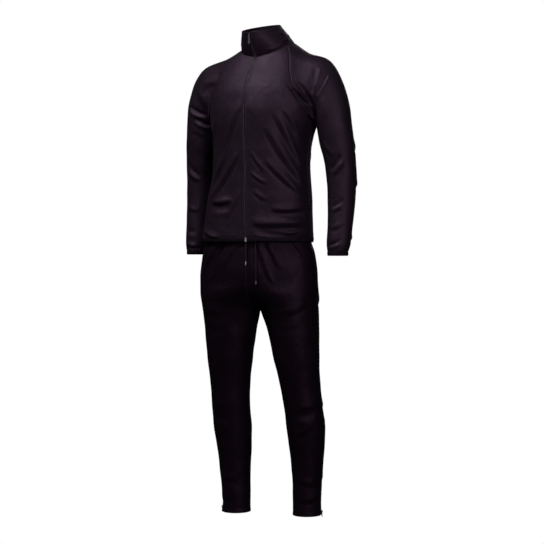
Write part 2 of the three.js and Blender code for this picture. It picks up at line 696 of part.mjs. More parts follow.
function frontZip() {
  const stations = [];
  const torsoStation = (z) => (across) => {
    const row = torsoAt(z);
    const angle = THREE.MathUtils.radToDeg(Math.atan(across / (row.y - row.front)));
    return { point: torso(angle, z), normal: outward(torso, angle, z) };
  };
  const neck = neckHeight(0);
  for (let i = 0; i <= ZIP_STEPS; i++) {
    stations.push(torsoStation(THREE.MathUtils.lerp(ZIP_FOOT, neck - 5, i / ZIP_STEPS)));
  }
  stations.push((across) => {
    const below = torsoStation(neck)(across);
    const above = collarFront(across, 0.01);
    const normal = below.normal.add(above.normal).normalize();
    return { point: below.point.addScaledVector(normal, -NECK_TURN), normal };
  });
  for (const up of [0.08, 0.35, 0.65, COLLAR_ZIP_TOP]) stations.push((across) => collarFront(across, up));
  return zipStrip(stations);
}

// Ankle zip on the outer seam of a leg
function ankleZip(side) {
  const heights = [ANKLE_HEM + 3, ...LEG_LEVELS.slice(1, 3), ANKLE_ZIP_TOP - 4];
  return zipStrip(
    heights.map((z) => (across) => {
      const row = trousersAt(z);
      const angle = 90 + THREE.MathUtils.radToDeg(across / row.front);
      const surface = (a, h) => leg(side, a, h);
      return { point: surface(angle, z), normal: outward(surface, angle, z, side < 0) };
    }),
  );
}

// Joined solids of two closed geometries
function joined(...geometries) {
  const solids = geometries.map((g) => {
    const bare = g.clone();
    bare.deleteAttribute("normal");
    bare.deleteAttribute("uv");
    const merged = mergeVertices(bare, 1e-4);
    return new wasm.Manifold(
      new wasm.Mesh({
        numProp: 3,
        vertProperties: merged.attributes.position.array,
        triVerts: new Uint32Array(merged.index.array),
      }),
    );
  });
  const mesh = solids.reduce((a, b) => a.add(b)).getMesh();
  return new THREE.BufferGeometry()
    .setAttribute("position", new THREE.BufferAttribute(mesh.vertProperties, 3))
    .setIndex(new THREE.BufferAttribute(mesh.triVerts, 1));
}

// A zip slider, in its own frame: +Z up along the chain, -Y out from it. Its arch carries the tab,
// whose bar turns in the middle of the arch.
const SLIDER = { wide: 7.4, tall: 10, deep: 2.2, arch: 1.9, rise: 3.6, span: 6.4, bar: 1.1 };
const TAB_OUT = SLIDER.deep + (SLIDER.rise - SLIDER.bar) / 2;

function sliderGeometry() {
  const { wide, tall, deep, arch, rise, span, bar } = SLIDER;
  const outline = new THREE.Shape();
  outline.moveTo(-wide / 2, tall / 2);
  outline.lineTo(-wide / 2 + 1, 1 - tall / 2);
  outline.quadraticCurveTo(-wide / 2 + 1.6, -tall / 2, 0, -tall / 2);
  outline.quadraticCurveTo(wide / 2 - 1.6, -tall / 2, wide / 2 - 1, 1 - tall / 2);
  outline.lineTo(wide / 2, tall / 2);
  const body = new THREE.ExtrudeGeometry(outline, { depth: deep, bevelEnabled: false, curveSegments: 4 });
  body.rotateX(Math.PI / 2);
  const side = new THREE.Shape();
  const foot = deep - 0.4;
  const top = deep + rise;
  side.moveTo(-span / 2, foot);
  side.lineTo(-span / 2, deep + rise / 2);
  side.quadraticCurveTo(-span / 2, top, 0, top);
  side.quadraticCurveTo(span / 2, top, span / 2, deep + rise / 2);
  side.lineTo(span / 2, foot);
  side.lineTo(span / 2 - bar, foot);
  side.lineTo(span / 2 - bar, deep + rise / 2);
  side.quadraticCurveTo(span / 2 - bar, top - bar, 0, top - bar);
  side.quadraticCurveTo(bar - span / 2, top - bar, bar - span / 2, deep + rise / 2);
  side.lineTo(bar - span / 2, foot);
  const loop = new THREE.ExtrudeGeometry(side, { depth: arch, bevelEnabled: false, curveSegments: 4 });
  // Drawn with the chain along X and the rise along Y: turned to Z up and -Y out
  const turned = new THREE.Matrix4().set(0, 0, 1, -arch / 2, 0, -1, 0, 0, 1, 0, 0, 0, 0, 0, 0, 1);
  return joined(body, loop.applyMatrix4(turned));
}

// A pull tab hanging from the middle of its bar: an eye, a waisted shank and a rounded grip
const TAB = { half: 3.1, thick: 1.1, bar: 0.55, eye: 4.6, lip: 0.4, neck: 6.4 };

function tabGeometry(long) {
  const { half, thick, bar, eye, lip, neck } = TAB;
  const outline = new THREE.Shape();
  outline.moveTo(-half, bar);
  outline.lineTo(half, bar);
  outline.lineTo(half, -eye);
  outline.lineTo(half * 0.7, -neck);
  outline.absarc(0, half - long, half, 0, -Math.PI, true);
  outline.lineTo(-half * 0.7, -neck);
  outline.lineTo(-half, -eye);
  const hole = new THREE.Path();
  const side = half - 1.1;
  hole.moveTo(-side, -bar);
  hole.lineTo(-side, lip - eye);
  hole.lineTo(side, lip - eye);
  hole.lineTo(side, -bar);
  outline.holes.push(hole);
  const shape = { depth: thick, bevelEnabled: false, curveSegments: 6 };
  return new THREE.ExtrudeGeometry(outline, shape).rotateX(Math.PI / 2).translate(0, thick / 2, 0);
}

// A length of round cord through points on the front of the trousers: millimetres across from the
// middle, height, and how far its middle stands out from the cloth
const CORD_RADIUS = 2.4;
const TIP = { radius: 2.2, long: 11 };
const CORDS = {
  left: [
    { across: 17, z: -541, out: 0.8 },
    { across: 17, z: -542, out: 4.2 },
    { across: 17.5, z: -548, out: 5.8 },
    { across: 20, z: -562, out: 5.2 },
    { across: 24, z: -585, out: 4.4 },
    { across: 27, z: -612, out: 4 },
    { across: 29, z: -650, out: 3.6 },
    { across: 30, z: -690, out: 3.4 },
    { across: 29.5, z: -726, out: 3.2 },
  ],
  right: [
    { across: -17, z: -541, out: 0.8 },
    { across: -17, z: -542, out: 4.2 },
    { across: -16, z: -548, out: 5.8 },
    { across: -13, z: -562, out: 5.2 },
    { across: -8, z: -582, out: 4.6 },
    { across: -4, z: -606, out: 4 },
    { across: -2.5, z: -636, out: 3.6 },
    { across: -3, z: -668, out: 3.3 },
  ],
};

function trouserFront({ across, z, out }) {
  const row = trousersAt(z);
  const middle = (row.outer + row.inner) / 2;
  const half = (row.outer - row.inner) / 2;
  const deep = row.front * Math.sqrt(1 - ((Math.abs(across) - middle) / half) ** 2);
  return placed(row, across, -deep - out, z);
}

function cordCurve(name) {
  return new THREE.CatmullRomCurve3(CORDS[name].map(trouserFront), false, "centripetal");
}

function cord(name) {
  const path = cordCurve(name);
  const section = new THREE.Shape();
  section.absarc(0, 0, CORD_RADIUS, 0, 2 * Math.PI, false);
  const steps = Math.round(path.getLength() / (3 * 2 * CORD_RADIUS)) + 6;
  return new THREE.ExtrudeGeometry(section, { steps, curveSegments: 4, extrudePath: path });
}

const suit = new THREE.Group();

function add(name, geometry, finish, parent = suit) {
  const mesh = new THREE.Mesh(geometry, new THREE.MeshStandardMaterial(finish));
  mesh.name = name;
  parent.add(mesh);
  return mesh;
}

// A cord's metal tip, just past its end and in line with it
function addTip(name) {
  const path = cordCurve(name);
  const tip = new THREE.CylinderGeometry(TIP.radius, TIP.radius, TIP.long, 12);
  const mesh = add("cord_tip_" + name, tip, METAL);
  const along = path.getTangent(1);
  mesh.quaternion.setFromUnitVectors(new THREE.Vector3(0, 1, 0), along);
  mesh.position.copy(path.getPoint(1)).addScaledVector(along, TIP.long / 2 + SEAM);
}

// A slider on a zip, and its tab hanging straight down from the slider's arch
function addSlider(name, { point, normal }, up, long) {
  const holder = new THREE.Group();
  const side = new THREE.Vector3().crossVectors(normal, up).negate().normalize();
  const frame = new THREE.Matrix4().makeBasis(side, normal.clone().negate(), up);
  holder.quaternion.setFromRotationMatrix(frame);
  holder.position.copy(point).addScaledVector(normal, CHAIN_OUT + SEAM);
  suit.add(holder);
  add(name + "_slider", sliderGeometry(), METAL, holder);
  const tab = add(name + "_pull", tabGeometry(long), METAL);
  tab.position.copy(holder.position).addScaledVector(normal, TAB_OUT);
  tab.rotation.z = Math.atan2(side.y, side.x);
}

// Places of the three sliders: the front zip is closed to the top, the ankle zips to the hem
const COLLAR_SLIDER = 0.86;
const FRONT_TAB = 26;
const ANKLE_SLIDER = ANKLE_HEM + 12;
const ANKLE_TAB = 17;

for (const [name, side] of [["left", 1], ["right", -1]]) {
  add("jacket_front_" + name, jacketFront(side), CLOTH);
  add("sleeve_" + name, sleeve(side), CLOTH);
  add("cuff_" + name, cuff(side), TRIM);
  add("trouser_front_" + name, trouserPanel(side, true), TROUSER_CLOTH);
  add("trouser_back_" + name, trouserPanel(side, false), TROUSER_CLOTH);
  add("ankle_zip_" + name, ankleZip(side), TRIM);
  add("drawstring_" + name, cord(name), TRIM);
  addTip(name);
  const surface = (angle, z) => leg(side, angle, z);
  const normal = outward(surface, 90, ANKLE_SLIDER, side < 0).setZ(0).normalize();
  const place = { point: surface(90, ANKLE_SLIDER), normal };
  addSlider("ankle_" + name, place, new THREE.Vector3(0, 0, 1), ANKLE_TAB);
}
add("jacket_back", jacketBack(), CLOTH);
add("collar", standCollar(), CLOTH);
add("hem_band", hemBand(), TRIM);
add("waistband", waistband(), TROUSER_CLOTH);
add("front_zip", frontZip(), TRIM);
const collarUp = collarFront(0, 0.95).point.sub(collarFront(0, 0.75).point).normalize();
const collarOut = new THREE.Vector3(0, -collarUp.z, collarUp.y);
addSlider("front", { point: collarFront(0, COLLAR_SLIDER).point, normal: collarOut }, collarUp, FRONT_TAB);

// The box that holds the foot of the front zip, between the ends of the hem band
const BOX = { wide: 5.2, deep: 3.2, tall: 11.6 };
const foot = placed(torsoAt(HEM_EDGE + 6), 0, torsoAt(HEM_EDGE + 6).front, HEM_EDGE + 6);
const box = add("zip_box", new THREE.BoxGeometry(BOX.wide, BOX.deep, BOX.tall), METAL);
box.position.copy(foot);
box.rotation.z = radians(torsoAt(HEM_EDGE + 6).turn);

export default suit;
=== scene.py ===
# %% [markdown]
# # A knitted tracksuit, standing as it is worn
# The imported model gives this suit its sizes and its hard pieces. Here each cut piece of cloth becomes
# a smooth shell with folds, seams and a knit, and the zips get their teeth. Lengths in the tables are
# millimetres, and the meshes are in metres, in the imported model's own frame.

import json
import math
import bpy
import numpy as np
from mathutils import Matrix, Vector

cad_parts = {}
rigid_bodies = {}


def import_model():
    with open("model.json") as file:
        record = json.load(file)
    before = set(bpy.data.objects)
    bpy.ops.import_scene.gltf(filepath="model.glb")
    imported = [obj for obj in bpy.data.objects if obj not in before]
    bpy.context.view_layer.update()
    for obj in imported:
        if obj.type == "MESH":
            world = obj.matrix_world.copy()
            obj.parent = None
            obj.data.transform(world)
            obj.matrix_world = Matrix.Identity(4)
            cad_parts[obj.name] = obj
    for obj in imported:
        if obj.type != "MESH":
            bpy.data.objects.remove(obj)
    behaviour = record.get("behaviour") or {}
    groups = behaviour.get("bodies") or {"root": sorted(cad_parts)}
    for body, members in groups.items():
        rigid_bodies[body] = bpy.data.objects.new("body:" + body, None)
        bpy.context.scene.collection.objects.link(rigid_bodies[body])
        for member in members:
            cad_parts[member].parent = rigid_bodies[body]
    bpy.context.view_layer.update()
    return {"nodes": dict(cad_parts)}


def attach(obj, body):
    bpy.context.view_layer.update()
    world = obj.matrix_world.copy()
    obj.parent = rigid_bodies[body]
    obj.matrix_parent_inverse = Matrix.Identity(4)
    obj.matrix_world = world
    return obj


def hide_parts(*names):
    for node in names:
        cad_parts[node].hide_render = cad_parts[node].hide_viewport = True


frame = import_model()
MM = 0.001
BODY = "suit"

# %% [markdown]
# The camera stands where the photographer stood: at hip height, level, and turned to the wearer's
# left. A long lens keeps the trousers and the collar nearly the same scale.

# %% Camera
AZIMUTH = math.radians(28)
DISTANCE = 4.45
EYE_HEIGHT = -0.700
AIM = 0.031  # to the right of the suit's middle line
LENS, SENSOR = 95, 36

view_right = Vector((math.cos(AZIMUTH), math.sin(AZIMUTH), 0))
view_look = Vector((-math.sin(AZIMUTH), math.cos(AZIMUTH), 0))
camera_data = bpy.data.cameras.new("camera")
camera_data.lens = LENS
camera_data.sensor_width = SENSOR
camera = bpy.data.objects.new("camera", camera_data)
camera.location = view_right * AIM - view_look * DISTANCE + Vector((0, 0, EYE_HEIGHT))
camera.rotation_euler = (math.pi / 2, 0, AZIMUTH)
bpy.context.scene.collection.objects.link(camera)
bpy.context.scene.camera = camera
print("camera at", [round(x, 2) for x in camera.location])

# %% [markdown]
# A garment is drafted from a few measured levels. Each table below is one such draft: the first line
# names the columns and each other line is one level. A smooth curve through a column gives the size
# at every height between, without a corner at the levels.

# %% Tables and smooth curves
def table(text):
    """Reads a draft: a line of column names, then one line of numbers for each level."""
    names, *rows = [line.split() for line in text.splitlines() if line.strip()]
    columns = np.array(rows, float).T
    order = np.argsort(columns[0])
    return {name: column[order] for name, column in zip(names, columns)}


def eased(t):
    """A share from 0 to 1 that starts and ends level: three squares less two cubes."""
    t = np.clip(t, 0, 1)
    return t * t * (3 - 2 * t)


def smooth(draft, name, at):
    """The curve through a column: between two levels a cubic that leaves each with the mean slope
    of its neighbours, and level beyond the ends."""
    x = next(iter(draft.values()))
    y = draft[name]
    before = np.maximum(np.arange(len(x)) - 1, 0)
    after = np.minimum(np.arange(len(x)) + 1, len(x) - 1)
    slope = (y[after] - y[before]) / (x[after] - x[before])
    at = np.asarray(at, float)
    i = np.clip(np.searchsorted(x, at) - 1, 0, len(x) - 2)
    span = x[i + 1] - x[i]
    t = np.clip((at - x[i]) / span, 0, 1)
    rise = eased(t)
    bend = slope[i] * t * (1 - t) ** 2 - slope[i + 1] * t * t * (1 - t)
    return y[i] * (1 - rise) + y[i + 1] * rise + span * bend


def placed(draft, across, along, z):
    """A point given from the middle of a level, turned with the hips and moved to its place."""
    turn = np.radians(smooth(draft, "turn", z))
    x = smooth(draft, "x", z) + across * np.cos(turn) - along * np.sin(turn)
    y = smooth(draft, "y", z) + across * np.sin(turn) + along * np.cos(turn)
    return np.stack(np.broadcast_arrays(x, y, z), -1)


TROUSERS = table("""
    z     x     y  outer inner front back turn
    -520  -12   0  163   -163  100   106  9
    -558  -13   0  166   -166  103   108  9
    -600  -14   0  168   -168  105   112  10
    -645  -12.5 0  181   -181  110   119  10
    -700  -12.5 2  188   -188  114   124  10
    -735  -13.5 4  189   -160  113   124  10
    -770  -14   8  188   -62   109   118  10
    -795  -13.5 11 186.5 -16   102   106  10
    -808  -13   12 186   0     98    100  10
    -840  -11   14 184.5 11    92    94   10
    -892  -7.5  15 182   24.5  85    86   10
    -966  -5.5  18 179   37.5  77    77   10
    -1041 -3.5  25 177   50    68    69   10
    -1115 1     31 177.5 58.5  63    63   10
    -1190 3     42 180   61    61    66   10
    -1264 4     49 172.5 65.5  56    60   10
    -1339 5     51 164.5 71    51    53   10
    -1413 6     52 160   71    48    48   10
    -1453 6     52 160   71    48    48   10
""")
print("trouser levels:", len(TROUSERS["z"]))

# %% [markdown]
# The drawstring comes out of the waistband as two free ends of round braided cord. They start on the
# band, behind the jacket's hem, go down over its lower edge and hang along the fronts, the wearer's
# left one longer. Each is a circle carried along a smooth line through the points of its route, so it
# keeps its real length and thickness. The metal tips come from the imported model.

# %% Drawstring ends
CORD_RADIUS = 2.4
CORD_ROUTES = {
    "left": table("""
        step across z    out
        0    17     -541 0.8
        1    17     -542 4.2
        2    17.5   -548 5.8
        3    20     -562 5.2
        4    24     -585 4.4
        5    27     -612 4
        6    29     -650 3.6
        7    30     -690 3.4
        8    29.5   -726 3.2
    """),
    "right": table("""
        step across z    out
        0    -17    -541 0.8
        1    -17    -542 4.2
        2    -16    -548 5.8
        3    -13    -562 5.2
        4    -8     -582 4.6
        5    -4     -606 4
        6    -2.5   -636 3.6
        7    -3     -668 3.3
    """),
}


def spline(knots, t):
    """Points at the shares t of a smooth line through the knots, each a row of the array. Every piece
    between two knots is a cubic whose ends lean by the square roots of the nearby distances."""
    first = 2 * knots[:1] - knots[1:2]
    last = 2 * knots[-1:] - knots[-2:-1]
    line = np.concatenate([first, knots, last])
    at = np.clip(t, 0, 1) * (len(knots) - 1)
    i = np.minimum(at.astype(int), len(knots) - 2)
    w = (at - i).reshape(-1, *[1] * (knots.ndim - 1))
    a, b, c, d = line[i], line[i + 1], line[i + 2], line[i + 3]
    gap = [np.sqrt(np.linalg.norm(q - p, axis=-1, keepdims=True)) for p, q in ((a, b), (b, c), (c, d))]
    gap = [np.where(g < 0.01, gap[1], g) for g in gap]
    lean_b = ((b - a) / gap[0] - (c - a) / (gap[0] + gap[1]) + (c - b) / gap[1]) * gap[1]
    lean_c = ((c - b) / gap[1] - (d - b) / (gap[1] + gap[2]) + (d - c) / gap[2]) * gap[1]
    cubic = 2 * b - 2 * c + lean_b + lean_c
    square = 3 * c - 3 * b - 2 * lean_b - lean_c
    return b + lean_b * w + square * w**2 + cubic * w**3


def unit(v):
    """The same directions with length one."""
    return v / np.maximum(np.linalg.norm(v, axis=-1, keepdims=True), 1e-12)


def trouser_front(across, z, out):
    """A point on the front of the trousers, a distance across from the middle, stood out by out."""
    outer, inner = smooth(TROUSERS, "outer", z), smooth(TROUSERS, "inner", z)
    middle, half = (outer + inner) / 2, (outer - inner) / 2
    deep = smooth(TROUSERS, "front", z) * np.sqrt(1 - ((np.abs(across) - middle) / half) ** 2)
    return placed(TROUSERS, across, -deep - out, z)


def lengths(points, axis):
    """Distance travelled from the first point along an axis of the grid."""
    steps = np.linalg.norm(np.diff(points, axis=axis), axis=-1)
    zero = np.zeros_like(np.take(steps, [0], axis))
    return np.cumsum(np.concatenate([zero, steps], axis), axis)


def linked(name, data):
    """An object of the scene with this mesh, lamp or camera."""
    item = bpy.data.objects.new(name, data)
    bpy.context.scene.collection.objects.link(item)
    return item


def grid_mesh(name, points, uv=None, stitch=None, closed=False, flip=False):
    """A mesh of squares between neighbouring points of a grid, given in millimetres. A closed grid's
    last column joins its first. uv and stitch are maps in metres, one column wider when closed."""
    rows, columns = points.shape[:2]
    spans = columns if closed else columns - 1
    i, j = np.meshgrid(np.arange(rows - 1), np.arange(spans), indexing="ij")
    corner = np.stack([i, j, i, j + 1, i + 1, j + 1, i + 1, j], -1).reshape(-1, 4, 2)
    if flip:
        corner = corner[:, ::-1]
    faces = corner[..., 0] * columns + corner[..., 1] % columns
    mesh = bpy.data.meshes.new(name)
    mesh.from_pydata((points.reshape(-1, 3) * MM).tolist(), [], faces.tolist())
    for layer, grid in (("cut", uv), ("stitch", stitch)):
        if grid is not None:
            values = grid[corner[..., 0], corner[..., 1]].reshape(-1)
            mesh.uv_layers.new(name=layer).data.foreach_set("uv", values.astype(np.float32))
    mesh.polygons.foreach_set("use_smooth", np.ones(len(faces), bool))
    mesh.update()
    return linked(name, mesh)


def frames_along(line, guide):
    """Tangent, side and out directions of a line, with out kept as near the guide as it can be."""
    along = unit(np.gradient(line, axis=0))
    side = unit(np.cross(along, guide))
    return along, side, np.cross(side, along)


CORD_SIDES, CORD_STEPS = 12, 110
CORD_END = 0.02  # share of the radius at the first and last ring, which closes the ends
AWAY = np.array([0.17, -0.98, 0])  # out from the front of the hips
cords = {}
for side, route in CORD_ROUTES.items():
    knots = trouser_front(route["across"], route["z"], route["out"])
    line = spline(knots, np.linspace(0, 1, CORD_STEPS))
    _, to_side, to_front = frames_along(line, np.broadcast_to(AWAY, line.shape))
    turn = np.linspace(0, 2 * np.pi, CORD_SIDES, endpoint=False)[None, :, None]
    ring = np.cos(turn) * to_side[:, None] + np.sin(turn) * to_front[:, None]
    middles = np.concatenate([line[:1], line, line[-1:]])
    rings = np.concatenate([ring[:1], ring, ring[-1:]])
    size = CORD_RADIUS * np.concatenate([[CORD_END], np.ones(len(line)), [CORD_END]])
    tube = middles[:, None] + rings * size[:, None, None]
    far = lengths(middles[:, None], 0)[:, 0]
    round_ = np.linspace(0, 2 * np.pi * CORD_RADIUS, CORD_SIDES + 1)
    uv = np.stack(np.meshgrid(round_, far), -1) * MM
    cord = grid_mesh("drawstring_" + side + "_cord", tube, uv, closed=True, flip=True)
    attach(cord, BODY)
    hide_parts("drawstring_" + side)
    cords[side] = cord
    print(cord.name, "length", round(far[-1]), "mm")

# %% [markdown]
# Cloth that hangs from the shoulder rolls over downwards where it is too long. So a fold is a long
# bell across a bowed line, with a soft upper slope, a steeper lower one and a small pinch under it. A
# crease is the same with a height below zero. A few slow waves keep the cloth between them from being
# too even.

# %% Folds
PINCH, PINCH_OFF, PINCH_WIDE = 0.45, 1.9, 0.8  # depth, then place and width in widths of the fold
FOLD_ENDS = 0.8  # below 1 a fold keeps its height nearer to its ends


def fold_height(folds, around, down, scale):
    """How far the cloth stands out where a fold passes, summed over the folds. Across a fold it is a
    bell of the fold's width, narrower on the lower side by its lean, less a pinch below it. Along the
    fold it is a half sine. around times scale and down are lengths in millimetres."""
    total = np.zeros(np.broadcast(around, down).shape)
    for start, z, end, foot, bow, wide, high, lean in zip(*folds.values()):
        span = np.array([(end - start) * scale, foot - z])
        long = np.hypot(*span)
        u, v = (around - start) * scale, down - z
        t = np.clip((u * span[0] + v * span[1]) / long**2, 0, 1)
        off_u, off_v = u - t * span[0], v - t * span[1] + bow * np.sin(np.pi * t)
        upper = np.sign(off_v * abs(span[0]) - off_u * span[1] * np.sign(span[0] + 1e-9))
        off = np.hypot(off_u, off_v) * np.where(upper < 0, -1, 1)
        narrow = wide * lean
        bell = np.exp(-((off / np.where(off < 0, narrow, wide)) ** 2))
        pinch = PINCH * np.exp(-(((off + PINCH_OFF * narrow) / (PINCH_WIDE * narrow)) ** 2))
        total = total + high * np.sin(np.pi * t) ** FOLD_ENDS * (bell - pinch)
    return total


WAVE_COUNT, WAVE_LENGTH, WAVE_SPREAD = 14, 95.0, 0.55
WAVES = np.random.default_rng(7).normal(size=(WAVE_COUNT, 3))
WAVE_TURN = np.random.default_rng(8).uniform(0, 2 * np.pi, WAVE_COUNT)


def unevenness(points, high):
    """Slow swells of a few tenths of a millimetre, a sum of sine waves in fixed directions, so that no
    stretch of cloth is drawn with a ruler."""
    phase = points @ (WAVES / WAVE_LENGTH * 2 * np.pi * WAVE_SPREAD).T + WAVE_TURN
    return high * np.sin(phase).sum(-1) / np.sqrt(WAVE_COUNT / 2)


print("waves in the cloth:", WAVE_COUNT)

# %% [markdown]
# The jacket's body is a rounded oval at each height: an ellipse with slightly square corners, wide at
# the chest, drawn in at the waist and turned a little to the wearer's left at the hips. A place on it
# is an angle from the middle of the front and a height. The tables below give its sizes, the seams of
# the sleeves, the neck and its folds, and the first lines the heights where one piece meets another.

# %% The jacket's body as a surface
HEM_SEAM, HEM_EDGE, UNDERARM = -596, -608, -240
CUFF_SEAM, CUFF_EDGE = -632, -644
WAIST_TOP, WAIST_SEAM, CROTCH = -520, -558, -808
ANKLE_HEM, ANKLE_ZIP_TOP = -1453, -1352
FRONT_NECK, BACK_NECK = 59, 60  # degrees from front and back where the raglan seams meet the neck
WALL = 1.6  # thickness of the cloth
CHAIN_SPACE = 3.0  # from the middle of a zip to the edge of the cloth

TORSO = table("""
    z    x    y  half  front back turn
    26   16   46 58    -20   94   0
    0    15   42 80    -37   102  0
    -36  9    40 133   -54   109  0
    -89  2    36 165   -82   117  0
    -142 0    32 176   -105  121  0
    -197 0    28 178   -117  120  0
    -240 0    25 173   -118  115  0
    -280 -0.5 18 162   -116  108  0
    -347 -1   5  156.5 -113  102  1
    -409 -2   2  158.5 -112  105  2
    -467 -7   0  166.5 -113  110  4
    -557 -13  0  172   -117  115  8
    -595 -14  0  175   -118  117  10
    -608 -14  0  173   -117  116  10
""")
SQUARENESS = 2.3  # the power that would be 2 in an ellipse
RAGLAN_FRONT = table("""
    z    angle
    -4   59
    -36  56
    -89  54
    -142 56
    -181 61
    -217 72
    -240 90
""")
RAGLAN_BACK = table("""
    z    angle
    14   60
    -60  55
    -130 57
    -185 64
    -220 75
    -240 90
""")
NECK = table("""
    angle z
    0     -41
    30    -28
    59    -4
    90    7
    120   14
    180   20
""")
TORSO_FOLDS = table("""
    start z    end foot bow wide high lean
    29    -258 80   -440 6   13   7.5  0.6
    37    -218 78   -382 4   11   6.2  0.6
    46    -206 70   -292 3   8    3.8  0.7
    32    -360 74   -464 4   11   6.2  0.6
    10    -336 31   -398 3   8    3.8  0.6
    8     -396 33   -433 3   7    3.8  0.6
    38    -509 78   -504 4   10   6.2  0.6
    36    -527 78   -525 4   9    -3.8 1.0
    10    -549 80   -550 4   14   7.5  0.6
    12    -571 84   -602 4   9    -5.0 1.0
    50    -584 67   -577 2   6    3.1  0.7
    57    -150 73   -196 2   5    -3.8 1.0
    -5    -182 -37  -345 6   13   6.2  0.6
    -32   -332 -61  -428 4   11   6.2  0.6
    -12   -336 -63  -486 6   12   7.5  0.6
    -58   -485 -20  -480 3   10   6.2  0.6
    -57   -503 -20  -501 3   9    -3.8 1.0
    -70   -566 -38  -601 3   10   6.2  0.6
    -46   -228 -66  -330 4   9    3.8  0.7
    -8    -452 -30  -540 4   9    3.1  0.7
    14    -452 34   -482 3   8    3.1  0.7
    112   -262 158  -392 8   14   5.0  0.7
    -112  -262 -156 -400 8   14   5.0  0.7
    50    -128 70   -202 3   6    -4.0 1.0
    -50   -118 -66  -190 3   6    -3.5 1.0
    60    -120 80   -232 4   20   -5.0 1.0
    104   -330 140  -430 6   11   4.4  0.7
    -102  -322 -140 -438 6   11   4.4  0.7
    120   -478 176  -486 6   12   5.6  0.6
    -172  -512 -112 -500 6   12   5.6  0.6
    108   -548 172  -560 5   13   5.6  0.6
    -176  -574 -104 -566 4   11   5.0  0.6
""")
TORSO_DEGREE = 2.6  # mean length of one degree round the body


def torso(angle, z, bare=False):
    """A point of the jacket's body. The radius in direction angle, from the middle of the front to the
    wearer's left, is that of an oval with the level's half width and depth, and the folds stand on it."""
    s, c = np.sin(np.radians(angle)), np.cos(np.radians(angle))
    y = smooth(TORSO, "y", z)
    deep = np.where(c > 0, y - smooth(TORSO, "front", z), smooth(TORSO, "back", z) - y)
    half = smooth(TORSO, "half", z)
    r = (np.abs(s / half) ** SQUARENESS + np.abs(c / deep) ** SQUARENESS) ** (-1 / SQUARENESS)
    if not bare:
        turned = np.where(angle > 180, angle - 360, angle)
        r = r + fold_height(TORSO_FOLDS, turned, z, TORSO_DEGREE)
    return placed(TORSO, r * s, -r * c, z)


def neck_height(angle):
    """Height of the neck seam in direction angle."""
    return smooth(NECK, "z", np.abs(angle))


def yoke_height(yoke, angle):
    """Rows of the yoke fan out from level at the underarm to the neck seam."""
    return UNDERARM + yoke * (neck_height(angle) - UNDERARM)


def chain_angle(z):
    """The angle that leaves half a zip's chain beside the middle line."""
    deep = smooth(TORSO, "y", z) - smooth(TORSO, "front", z)
    return np.degrees(np.arctan(CHAIN_SPACE / deep))


ROWS_BODY, ROWS_YOKE = 116, 74
CLOSER_LOW = 1.25  # rows of the yoke are closer near the underarm
row_z = np.concatenate([np.linspace(HEM_SEAM, UNDERARM, ROWS_BODY + 1), np.full(ROWS_YOKE, UNDERARM)])
yoke_share = (np.arange(1, ROWS_YOKE + 1) / ROWS_YOKE) ** CLOSER_LOW
row_yoke = np.concatenate([np.zeros(ROWS_BODY + 1), yoke_share])
print("rows on the body:", len(row_z))

# %% [markdown]
# Every sewn piece goes through the same finish. Along a seam the cloth dips where it is pulled down to
# the stitches, and a row of tiny puckers runs beside it. Along the zip the edge is folded under, which
# makes a low roll, and a hem is raised up to its row of stitches. Two maps go with the piece: one lies
# flat like the cut cloth and carries the knit, the other measures from the nearest seam and carries
# the stitches.

# %% Finish of a sewn piece
SEAM_GAP = 0.12
DIP_WIDE = 2.6
PUCKER = {"high": 0.22, "pitch": 11, "off": 5, "wide": 4, "drift": 1.7, "drift_length": 23}
TURNED_EDGE = {  # bells beside the edge: height, distance, width, power
    "roll": [(0.75, 2.2, 1.7, 2), (-0.35, 6, 1.6, 2)],
    "hem": [(0.5, 0, 9, 4), (-0.4, 14, 1.8, 2)],
}
BEYOND_STITCHES = 60.0  # farther from a seam than any stitch


def normals_of(points, closed=False):
    """Outward directions: the cross product of the steps to the next column and to the next row."""
    if closed:
        across = np.roll(points, -1, 1) - np.roll(points, 1, 1)
    else:
        across = np.gradient(points, axis=1)
    return unit(np.cross(across, np.gradient(points, axis=0)))


def thicken(piece, wall):
    """Gives a surface a wall, which grows inwards."""
    shell = piece.modifiers.new("wall", "SOLIDIFY")
    shell.thickness = wall * MM
    shell.offset = -1


def sewn(name, points, seams, closed=False, mirrored=False, dip=1.1, swell=0.5, level=slice(None)):
    """Turns a grid of points into a shell of cloth. seams names the sides of the grid, among start,
    end, bottom and top, as seam, roll or hem. level is not used."""
    normal = normals_of(points, closed) * (-1 if mirrored else 1)
    ring = np.concatenate([points, points[:, :1]], 1) if closed else points
    u, v = lengths(ring, 1), lengths(ring, 0)
    side = {"start": u, "end": u[:, -1:] - u, "bottom": v, "top": v[-1:] - v}
    out = unevenness(points, swell)
    rim = np.full(u.shape, BEYOND_STITCHES)
    along = np.zeros(u.shape)
    for edge, kind in seams.items():
        away, beside = side[edge], (v if edge in ("start", "end") else u)
        d, far = away[:, :points.shape[1]], beside[:, :points.shape[1]]
        if kind == "seam":
            out = out - dip * np.exp(-((d / DIP_WIDE) ** 2))
            drift = PUCKER["drift"] * np.sin(far / PUCKER["drift_length"])
            pucker = np.sin(2 * np.pi * far / PUCKER["pitch"] + drift)
            out = out + PUCKER["high"] * pucker * np.exp(-(((d - PUCKER["off"]) / PUCKER["wide"]) ** 2))
        for high, place, wide, power in TURNED_EDGE.get(kind, []):
            out = out + high * np.exp(-(((d - place) / wide) ** power))
        along = np.where(away < rim, beside, along)
        rim = np.minimum(away, rim)
    shaped = points + normal * out[..., None]
    piece = grid_mesh(
        name, shaped, np.stack([u, v], -1) * MM, np.stack([along, rim], -1) * MM, closed, flip=mirrored
    )
    thicken(piece, WALL)
    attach(piece, BODY)
    return piece


